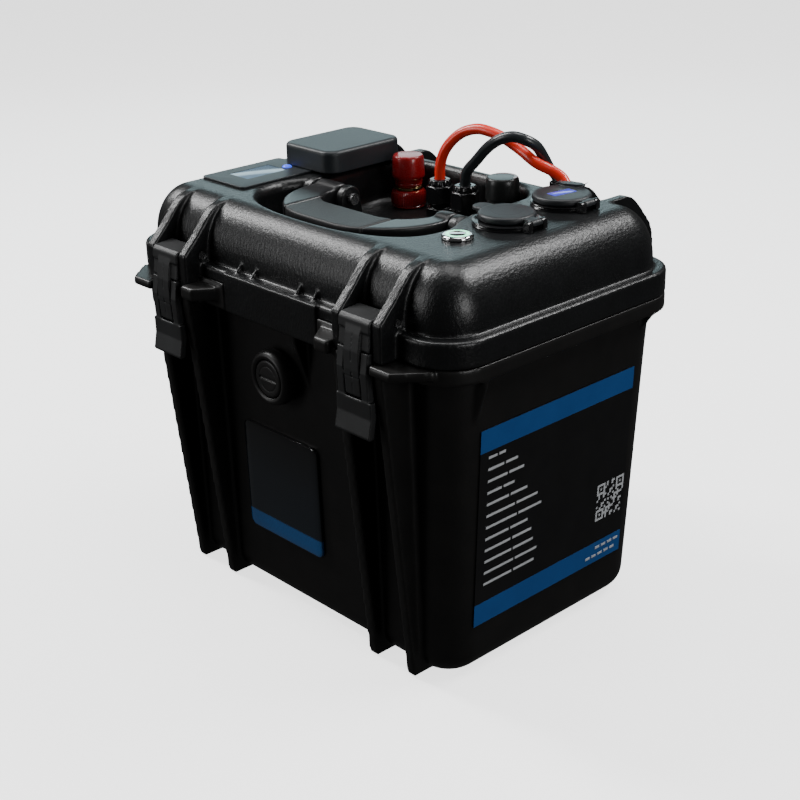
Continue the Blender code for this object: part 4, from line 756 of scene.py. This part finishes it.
def build_posts():
    floor = WELL_FLOOR + 0.3
    foot = [(4.3, 246.8), (9.6, 246.8), (10.6, 246.4), (11.3, 245.4), (11.8, 243.5), (11.8, 238.2),
            (11.6, 237.4), (10.9, 236.9), (11.3, 236.4), (11.3, floor + 0.5), (10.8, floor), (4.3, floor),
            (4.3, 246.8)]
    cap = [(0, 270.2), (8.9, 270.2), (9.5, 270.1), (9.9, 269.7), (10.4, 268.6), (10.6, 266.0),
           (11.1, 257.6), (11.1, 256.2), (10.5, 255.0), (9.6, 254.4), (9.3, 253.2), (9.3, 252.4),
           (8.9, 252.0), (8.9, 251.4), (9.2, 251.0), (9.0, 249.9), (8.5, 249.4), (4.3, 249.4),
           (4.3, 265.5), (0, 265.5)]
    washer = [(4.3, 249.1), (9.0, 249.1), (9.4, 248.8), (9.4, 247.4), (9.0, 247.1), (4.3, 247.1),
              (4.3, 249.1)]
    for pole, mat, slot in (("red", RED, "red_plastic"), ("black", KNOB, "black_knob")):
        here = (POST_X[pole], ROW_Y, 0)
        piece = lathe("post_foot_" + pole, foot, here, steps=240, flutes=(237.2, 246.0, 60, 0.45, 11.0))
        dress(piece, mat, "lid", slot, "post_base_" + pole)
        piece = lathe("post_cap_" + pole, cap, here, steps=160)
        dress(piece, mat, "post_knob_" + pole, slot, "post_knob_" + pole)
        piece = lathe("post_ring_" + pole, washer, here, steps=96)
        dress(piece, BRASS, "post_washer_" + pole, "brass", "post_washer_" + pole)
    # Thin red crescent on the rear top rim of the black knob: a painted reflection of the red lead that
    # loops just behind and above it.
    rim = [(7.2, 270.35), (9.3, 270.35), (9.6, 270.1), (9.6, 269.6), (7.2, 269.6), (7.2, 270.35)]
    painted_red_reflection = lathe("post_red_reflection", rim, (POST_X["black"], ROW_Y, 0), steps=64)
    combine(painted_red_reflection, box("keep", (34.0, ROW_Y + 1.5, 260.0), (51.0, ROW_Y + 20, 275.0)), "INTERSECT")
    dress(painted_red_reflection, RED, "post_knob_black", "red_plastic")


def hexagon(centre, across_flats, turn=0):
    radius = across_flats / math.sqrt(3)
    return [(centre[0] + radius * math.cos(math.radians(60 * i + turn)),
             centre[1] + radius * math.sin(math.radians(60 * i + turn))) for i in range(6)]


def build_glands():
    dome = [(0, 256.0), (7.6, 256.0), (9.6, 253.2), (9.6, 244.4), (8.6, 243.3), (0, 243.3)]
    crown = [(0, 259.0), (5.6, 259.0), (6.8, 258.7), (7.7, 257.8), (8.1, 256.2), (7.6, 255.2),
             (7.6, 252.0), (0, 252.0)]
    skirt = [(0, 242.0), (8.4, 240.2), (9.9, 239.2), (9.9, 235.9), (9.5, 235.3), (0, 235.3)]
    for pole, x in GLAND_X.items():
        here = (x, ROW_Y, 0)
        nut = prism("gland_nut", [hexagon(here, 16.5)], 243.3, 254.6)
        combine(nut, lathe("trim", dome, here), "INTERSECT")
        fuse(nut, lathe("crown", crown, here, steps=120, flutes=(255.6, 258.2, 12, 0.9, 7.0)))
        cut(nut, rod("bore", (x, ROW_Y, 235), (x, ROW_Y, 264), LEAD_BORE_RADIUS))
        mould(nut, 0.33, 2)
        dress(nut, GLAND, "lid", "gland_plastic", "gland_nut_" + pole)
        nut.name = "gland_crown_" + pole
        body = prism("gland_flange", [hexagon(here, 17.0, 8)], WELL_FLOOR + 0.3, 240.0)
        combine(body, lathe("trim", skirt, here), "INTERSECT")
        fuse(body, rod("stem", (x, ROW_Y, 224.5), (x, ROW_Y, 236.5), 6.0))
        fuse(body, rod("neck", (x, ROW_Y, 239.0), (x, ROW_Y, 243.0), 7.0))
        cut(body, rod("bore", (x, ROW_Y, 215), (x, ROW_Y, 250), LEAD_BORE_RADIUS))
        mould(body, 0.4, 2)
        dress(body, GLAND, "lid", "gland_plastic", "gland_body_" + pole)
        body.name = "gland_foot_" + pole


def smooth_path(anchors, steps):
    points = [Vector(p) for p in anchors]
    ends = [points[0] * 2 - points[1]] + points + [points[-1] * 2 - points[-2]]
    path = []
    for a, b, c, d in zip(ends, ends[1:], ends[2:], ends[3:]):
        for i in range(steps):
            t = i / steps
            path.append(0.5 * ((2 * b) + (c - a) * t + (2 * a - 5 * b + 4 * c - d) * t * t
                               + (3 * b - a - 3 * c + d) * t ** 3))
    path.append(points[-1])
    return path


LEADS = {      # points past the gland that each lead runs through
    "red": ((-13.4, 53.9, 268.5), (-10.8, 55.0, 277.2), (-5.4, 57.0, 285.0), (2.7, 59.0, 291.3),
            (13.2, 61.0, 294.6), (23.2, 62.5, 294.0), (33.1, 64.0, 291.4), (45.8, 65.6, 285.8),
            (59.0, 66.0, 279.5), (66.8, 72.2, 274.6), (72.4, 75.0, 270.8), (76.0, 75.0, 267.2),
            (78.5, 75.0, 264.7), (81.0, 75.0, 262.2)),
    "black": ((11.4, 53.7, 268.4), (18.2, 54.0, 275.6), (28.5, 54.0, 286.0), (38.4, 54.5, 292.7),
              (47.2, 57.0, 295.6), (53.7, 61.2, 294.0), (57.4, 68.2, 289.1), (58.4, 74.1, 281.0),
              (59.9, 77.8, 273.9), (62.4, 79.5, 270.8), (66.0, 79.5, 267.2), (68.5, 79.5, 264.7),
              (71.0, 79.5, 262.2)),
}


def build_leads():
    for pole, mat in (("red", RED_CABLE), ("black", BLACK_CABLE)):
        curve = bpy.data.curves.new("lead", "CURVE")
        curve.dimensions = "3D"
        curve.bevel_depth = LEAD_RADIUS * MM
        curve.bevel_resolution = 8
        curve.use_fill_caps = True
        rise = [(GLAND_X[pole], ROW_Y, z) for z in (216.0, 238.0, 260.0)]
        path = smooth_path(rise + list(LEADS[pole]), 7)
        spline = curve.splines.new("POLY")
        spline.points.add(len(path) - 1)
        for point, place in zip(spline.points, path):
            point.co = (*(place * MM), 1)
        tube = link("tube", curve)
        mesh = evaluated_mesh(tube)
        bpy.data.objects.remove(tube, do_unlink=True)
        mesh.shade_smooth()
        piece = link("cable_" + pole, mesh)
        dress(piece, mat, "lid", pole + "_cable", "lead_" + pole)


# ------------------------------------------------------- right side fittings

def build_button():
    x, y = BUTTON_AT
    bezel = [(7.2, 264.7), (8.2, 264.7), (8.9, 264.3), (9.25, 263.6), (9.3, 262.8), (9.0, 262.3),
             (8.0, 262.3), (8.0, 245.0), (7.2, 245.0), (7.2, 264.7)]
    dress(lathe("button_bezel", bezel, (x, y, 0), steps=128), CHROME, "lid", "bright_metal",
          "power_button_bezel")
    ring = [(5.4, 264.9), (6.6, 264.9), (7.0, 264.7), (7.0, 250.0), (5.4, 250.0), (5.4, 264.9)]
    dress(lathe("button_light", ring, (x, y, 0), steps=128), GREEN_LIGHT, "lid", "green_light",
          "power_button_ring")
    cap = [(0, 265.0), (4.2, 265.1), (5.0, 264.8), (5.2, 264.3), (5.2, 251.0), (0, 251.0)]
    dress(lathe("button_face", cap, (x, y, 0), steps=96), CHROME, "power_button", "bright_metal",
          "power_button_cap")


def placed(centre, degrees):
    return Matrix.Translation(Vector((*centre, 0)) * MM) @ Matrix.Rotation(math.radians(degrees), 4, "Z")


def socket_flange(name, node, centre, radius, bore, depth):
    x, y = centre
    foot = LID_TOP - depth
    profile = [(0, foot + 3), (bore, foot + 3), (bore, 264.4), (bore + 0.6, 265.0), (radius - 1.0, 265.0)]
    for top in (264.8, 263.9):
        profile += [(radius - 0.15, top), (radius, top - 0.2), (radius, top - 0.5),
                    (radius - 0.6, top - 0.75)]
    profile += [(radius, FITTING_FOOT), (14.0, FITTING_FOOT), (14.0, foot), (0, foot)]
    body = lathe(name, profile, (x, y, 0), steps=128)
    hinge_x = x + radius + CAP_HINGE_OFFSET
    inside = x + radius - 4
    outline = [(inside, FITTING_FOOT), (hinge_x + CAP_HINGE_RADIUS, FITTING_FOOT)]
    outline += arc((hinge_x, CAP_HINGE_Z), CAP_HINGE_RADIUS, 0, 180, 16)
    outline += [(hinge_x - CAP_HINGE_RADIUS, 264.6), (inside, 264.6)]
    ears = []
    for sign in (-1, 1):
        y0, y1 = sorted((y + sign * 4.4, y + sign * 8.0))
        ears.append(bevelled(prism("ear", [outline], y0, y1, "y"), 0.35))
    fuse(body, merged("ears", ears))
    crisp(body, 35)
    return dress(body, SOCKET, "lid", "socket_plastic", node)


def socket_lid(name, centre, radius, rim, tab, face):
    """Round cap with its hinge knuckle and lift tab. tab = (angle, reach, half width, low, high)."""
    x, y = centre
    hinge_x = x + radius + CAP_HINGE_OFFSET
    profile = face + [(rim, 268.0), (rim, 266.3), (rim - 0.5, 265.6), (rim - 0.9, 265.3), (0, 265.3)]
    cap = lathe(name, profile, (x, y, 0), steps=128)
    outline = arc((hinge_x, CAP_HINGE_Z), CAP_HINGE_RADIUS, -20, 90, 12)
    outline += [(x + rim - 3, 268.6), (x + rim - 3, 265.5), (hinge_x, 265.5)]
    knuckle = prism("knuckle", [outline], y - 4.1, y + 4.1, "y")
    angle, reach, half, low, high = tab
    tongue = box("tongue", (-rim - reach, -half, low), (-rim + 5.0, half, high),
                 upright=min(half - 0.5, 5.0), top=0.9, steps=5)
    tongue.data.transform(placed((x, y), angle))
    fuse(cap, merged("extras", [knuckle, tongue]))
    return cap


def build_sockets():
    socket_flange("socket_round", "socket_12v_body", SOCKET_AT, SOCKET_RADIUS, 10.6, 40.0)
    face = [(0, 269.5), (9.0, 269.5), (9.4, 269.35), (9.8, 269.5), (15.2, 269.6), (16.2, 269.3),
            (16.9, 268.7)]
    cap = socket_lid("round_cap", SOCKET_AT, SOCKET_RADIUS, 17.2, (0, 8.0, 6.0, 267.0, 269.3), face)
    mould(cap, 0.35, 2)
    dress(cap, CAP, "socket_12v_cap", "cap_plastic", "socket_12v_cap")
    cap.name = "round_flip_cap"
    socket_flange("socket_ports", "socket_usb_body", USB_AT, USB_RADIUS, 12.0, 24.0)
    face = [(0, 269.6), (16.0, 269.6), (17.2, 269.4), (17.9, 268.8)]
    cap = socket_lid("ports_cap", USB_AT, USB_RADIUS, 18.2, (-70, 1.5, 8.5, 265.8, 271.4), face)
    cut(cap, window_box("seat", 0.3, 268.5, 275.0))
    mould(cap, 0.35, 2)
    dress(cap, CAP, "socket_usb_cap", "cap_plastic", "socket_usb_cap")
    cap.name = "ports_flip_cap"
    window = bevelled(window_box("window", 0.0, 268.8, 269.6), 0.15, 2)
    dress(window, WINDOW, "socket_usb_cap", "blue_window", "usb_cap_window")
    window.name = "ports_window"
    plug = box("plug_housing", (63.0, 71.8, 262.3), (86.0, 84.0, 267.2), upright=4.0, top=1.0, steps=5)
    fuse(plug, box("stem", (66.0, 73.0, 254.0), (84.0, 80.5, 263.3)))
    bores = [rod("bore", (x - 8, y, 275.2), (x + 6.2, y, 261.0), LEAD_BORE_RADIUS)
             for x, y in ((76.0, 75.0), (66.0, 79.5))]
    cut(plug, merged("bores", bores))
    crisp(plug, 35)
    dress(plug, SOCKET, "lid", "socket_plastic", "lead_plug")


def window_box(name, margin, low, high):
    window = box(name, (-3.7 - margin, -8.7 - margin, low), (3.7 + margin, 8.7 + margin, high))
    window.data.transform(placed(USB_AT, -8))
    return window


# -------------------------------------------------------- left side fittings

def build_display():
    top = 263.5
    plate = box("display_plate", (-123.0, -59.0, 262.3), (-79.0, 6.5, top), upright=3.0, top=0.35, steps=5)
    fuse(plate, box("body", (-116.0, -51.0, 251.0), (-86.0, -1.5, 262.9)))
    cut(plate, box("seat", (-112.9, -43.8, top - 1.3), (-93.2, -10.7, top + 5)))
    cut(plate, rod("seat", (-99.0, -6.0, 258.0), (-99.0, -6.0, 270.0), 3.6))
    crisp(plate, 30)
    dress(plate, SLATE, "lid", "display_plastic", "display_housing")
    glass = bevelled(box("display_glass", (-112.6, -43.5, top - 1.0), (-93.5, -11.0, top - 0.1)), 0.12, 2)
    dress(glass, SCREEN, "lid", "screen", "display_window")
    dome = [(0, 264.9), (1.6, 264.75), (2.6, 264.4), (3.2, 263.8), (3.3, 263.3), (3.3, 259.3), (0, 259.3)]
    dress(lathe("display_key", dome, (-99.0, -6.0, 0), steps=64), BLUE_LIGHT, "display_button", "blue_light",
          "display_button")


def build_outlet():
    low, high = (-109.5, -2.4, 263.8), (-58.7, 63.5, 278.4)
    cover = box("outlet_hood", low, high, upright=9.5, top=2.6, steps=8)
    cut(cover, box("room", (low[0] + 2.5, low[1] + 2.5, 260.0), [edge - 2.5 for edge in high],
                   upright=7.0, steps=6))
    x, z = -112.6, 268.6
    outline = arc((x, z), 2.4, 90, 270, 16) + [(low[0] + 1.5, z - 2.4), (low[0] + 1.5, z + 2.4)]
    fuse(cover, prism("knuckle", [outline], 19.4, 48.6, "y"))
    cut(cover, rod("hole", (x, 10, z), (x, 58, z), 1.35))
    mould(cover, 0.6, 2)
    dress(cover, SLATE, "outlet_cover", "display_plastic", "outlet_cover")
    cover.name = "outlet_lid"


# ------------------------------------------------------------ front and side

def build_valve():
    x, z, face = -8.0, 164.5, 93.0
    body = [(12.6, face + 8.6), (13.0, face + 9.2), (14.2, face + 9.9), (15.2, face + 9.9),
            (16.4, face + 9.0), (17.3, face + 7.4), (17.8, face + 5.4), (18.0, face + 3.0),
            (18.0, face + 2.0), (17.6, face + 1.6), (9.0, face + 1.6), (9.0, face - 8.0),
            (5.0, face - 8.0), (5.0, face + 3.0), (12.6, face + 3.0), (12.6, face + 8.6)]
    dress(lathe("valve_ring", body, (x, 0, z), "front", 128), VALVE, "case", "valve_plastic",
          "purge_valve_body")
    knob = [(0, face + 9.4), (7.6, face + 9.4), (8.0, face + 9.0), (8.4, face + 9.4), (10.8, face + 9.5),
            (11.8, face + 9.1), (12.2, face + 8.3), (12.2, face + 3.4), (0, face + 3.4)]
    piece = lathe("valve_knob", knob, (x, 0, z), "front", 96)
    cut(piece, box("slot", (x - 8.0, -(face + 15.0), z - 0.9), (x + 8.0, -(face + 8.4), z + 0.9)))
    mould(piece, 0.35, 2)
    dress(piece, VALVE, "purge_valve_knob", "valve_plastic", "purge_valve_knob")
    piece.name = "valve_centre"


def lean_front(piece):
    """Lay a piece drawn on the plane y = 0 on the sloping front wall."""
    lean = math.atan2(TUB_TOP_HALF[1] - TUB_FOOT_HALF[1], RIM_TOP)
    foot = Matrix.Translation((0, -TUB_FOOT_HALF[1] * MM, 0))
    piece.data.transform(foot @ Matrix.Rotation(lean, 4, "X"))
    return piece


def build_badge():
    """Domed resin plate with a thin bright edge."""
    rings = ((0.0, -0.45), (0.0, -1.7), (0.25, -2.05), (0.7, -2.25), (2.0, -2.45), (6.0, -2.6))
    bm = bmesh.new()
    layers = []
    for inset, y in rings:
        outline = rounded_outline([edge + inset for edge in BADGE_LOW],
                                  [edge - inset for edge in BADGE_HIGH], 5.0 - min(inset, 4.0), 10)
        layers.append([bm.verts.new((u * MM, y * MM, v * MM)) for u, v in outline])
    for a, b in zip(layers, layers[1:]):
        for i in range(len(a)):
            j = (i + 1) % len(a)
            bm.faces.new((a[i], a[j], b[j], b[i]))
    bm.faces.new(layers[-1])
    bm.faces.new(layers[0][::-1])
    badge = lean_front(from_bmesh("badge_dome", bm))
    badge.data.set_sharp_from_angle(angle=math.radians(45))
    dress(badge, badge_material(), "case", "badge_resin", "front_badge")
    outer = rounded_outline((-48.4, 46.6), (22.9, 122.4), 4.6, 10)
    inner = rounded_outline((-47.9, 47.1), (22.4, 121.9), 4.2, 10)
    edge = lean_front(prism("badge_edge", [outer, inner], 2.1, 2.45, "y"))
    dress(edge, PALE_EDGE, "case", "badge_resin")


def on_side(piece):
    """Lay a piece drawn on the plane x = 0 on the sloping right wall."""
    lean = math.atan2(TUB_TOP_HALF[0] - TUB_FOOT_HALF[0], RIM_TOP)
    foot = Matrix.Translation((TUB_FOOT_HALF[0] * MM, 0, 0))
    piece.data.transform(foot @ Matrix.Rotation(lean, 4, "Y"))
    return piece


def label_patch(y0, y1, z0, z1, lift=0.74):
    return box("patch", (0.5, y0, z0), (lift, y1, z1))


def build_label():
    film = box("label_sheet", (0.3, LABEL_Y[0], LABEL_Z[0]), (0.7, LABEL_Y[1], LABEL_Z[1]))
    dress(on_side(film), LABEL, "case", "label_film", "side_label")
    bands = merged("label_bands", [label_patch(*LABEL_Y, 151.3, 165.9), label_patch(*LABEL_Y, 35.1, 50.0)])
    dress(on_side(bands), BLUE_BAND, "case", "label_film")
    marks = []
    for row, length in enumerate((13, 24, 30, 22, 34, 44, 48, 36, 40, 42, 46, 44)):
        z = 147.0 - row * 7.7
        split = -62.0 + length * 0.55
        marks.append(label_patch(-62.0, split, z - 0.85, z + 0.85))
        marks.append(label_patch(split + 1.6, split + 1.6 + length * 0.42, z - 0.85, z + 0.85))
    side = 26
    for i in range(17):
        for j in range(17):
            corner = (i < 5 or i > 11) and (j < 5 or j > 11) and not (i > 11 and j < 5)
            ring = corner and (i in (0, 4, 12, 16) or j in (0, 4, 12, 16) or (i in (2, 14) and j in (2, 14)))
            filled = ring if corner else (i * 7 + j * 11 + (i * j) % 5) % 3 == 0
            if filled:
                y = 40.0 + i * side / 17
                z = 65.5 + j * side / 17
                marks.append(label_patch(y, y + side / 17, z, z + side / 17))
    for i in range(4):
        marks.append(label_patch(42.0 + i * 6.0, 46.2 + i * 6.0, 44.8, 46.4, 0.95))
    for i in range(5):
        marks.append(label_patch(33.0 + i * 6.0, 37.2 + i * 6.0, 39.4, 41.0, 0.95))
    printing = merged("label_print", marks)
    dress(on_side(printing), PRINT, "case", "label_film")


# -------------------------------------------------------- carried-over pieces

def carry_over():
    """CAD nodes that keep their own shape and only get a finish."""
    finishes = {"lid_seal": RUBBER, "purge_valve_seal": RUBBER, "foam_pad": FOAM,
                "management_module": MODULE, "outlet_base": SLATE, "outlet_hinge_pin": STEEL,
                "post_stud_red": BRASS, "post_stud_black": BRASS}
    for index in (1, 2, 3, 4):
        finishes[f"cell_{index}"] = CELL
    for index in (1, 2, 3):
        finishes[f"busbar_{index}"] = TINNED
    for side in ("left", "right"):
        for kind in ("latch_pin_", "hinge_pin_", "handle_bolt_"):
            finishes[kind + side] = STEEL
    for name, mat in finishes.items():
        node = NODES[name]
        node.data.materials.clear()
        node.data.materials.append(mat)
        crisp(node, 35)


# -------------------------------------------------------------- the photo set

def floor_material():
    s = Shader("pale floor")
    s.feed("Base Color", s.mix(s.noise(200.0, 2.0), (0.8, 0.8, 0.8), (0.84, 0.84, 0.84)))
    s.put("Roughness", 0.6)
    s.put("Emission Color", (0.9, 0.9, 0.9, 1))
    s.put("Emission Strength", 2.2)
    return s.mat


LAMPS = (      # name, place, target, size, power and colour
    ("overhead", (0.0, 0.2, 1.5), (0, 0, 0.2), (0.7, 0.7), 7, (1, 1, 1)),
    ("front shoulder", (-1.1, -0.35, 1.35), (0, -0.05, 0.22), (0.22, 1.1), 26, (1, 1, 1)),
    ("right shoulder", (0.6, 0.95, 1.4), (0.08, 0, 0.22), (0.8, 0.3), 18, (1, 1, 1)),
    ("top sheen", (-1.15, 1.05, 0.72), (0, 0, 0.24), (1.0, 0.45), 3.5, (0.7, 0.95, 1.0)),
    ("left front", (-0.9, -1.5, 0.7), (0, -0.05, 0.12), (0.5, 0.9), 7, (1, 1, 1)),
    ("right side", (1.6, -0.1, 0.6), (0.1, 0, 0.12), (0.5, 0.7), 7, (1, 1, 1)),
)


def area_light(name, place, target, size, power, colour):
    light = bpy.data.lights.new(name, "AREA")
    light.shape = "RECTANGLE"
    light.size, light.size_y = size
    light.energy = power
    light.color = colour
    lamp = link(name, light)
    lamp.location = place
    lamp.rotation_euler = (Vector(target) - Vector(place)).to_track_quat("-Z", "Y").to_euler()
    lamp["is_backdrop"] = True


def studio():
    bm = bmesh.new()
    bmesh.ops.create_grid(bm, x_segments=2, y_segments=2, size=6.0)
    floor = from_bmesh("floor", bm)
    floor.location.z = -0.0005
    floor.data.materials.append(floor_material())
    floor.visible_diffuse = False
    floor.visible_glossy = False
    floor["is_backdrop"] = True
    world = bpy.data.worlds.new("studio")
    bpy.context.scene.world = world
    world.use_nodes = True
    tree = world.node_tree
    back = tree.nodes["Background"]
    rays = tree.nodes.new("ShaderNodeLightPath")
    pick = tree.nodes.new("ShaderNodeMapRange")
    pick.inputs["To Min"].default_value = 0.06
    pick.inputs["To Max"].default_value = 5.0
    tree.links.new(rays.outputs["Is Camera Ray"], pick.inputs["Value"])
    tree.links.new(pick.outputs["Result"], back.inputs["Strength"])
    back.inputs["Color"].default_value = (0.9, 0.9, 0.9, 1)
    for lamp in LAMPS:
        area_light(*lamp)
    camera = bpy.data.cameras.new("photo view")
    camera.lens = 66.3
    camera.sensor_width = 36.0
    holder = link("photo view", camera)
    eye = Vector((0.6603, -0.6106, 0.5093))
    ahead = (Vector((0.0003, 0.0003, 0.1212)) - eye).normalized()
    right = ahead.cross(Vector((0, 0, 1))).normalized()
    up = right.cross(ahead)
    roll = math.radians(-1.3)
    right, up = (right * math.cos(roll) + up * math.sin(roll), up * math.cos(roll) - right * math.sin(roll))
    turn = Matrix((right, up, -ahead)).transposed().to_4x4()
    holder.matrix_world = Matrix.Translation(eye) @ turn
    bpy.context.scene.camera = holder
    holder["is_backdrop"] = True


remember_size()
build_case()
build_lid()
for name, side in (("left", -1), ("right", 1)):
    build_latch(name, side)
build_handle()
build_posts()
build_glands()
build_leads()
build_button()
build_sockets()
build_display()
build_outlet()
build_valve()
build_badge()
build_label()
carry_over()
studio()
remember_size()
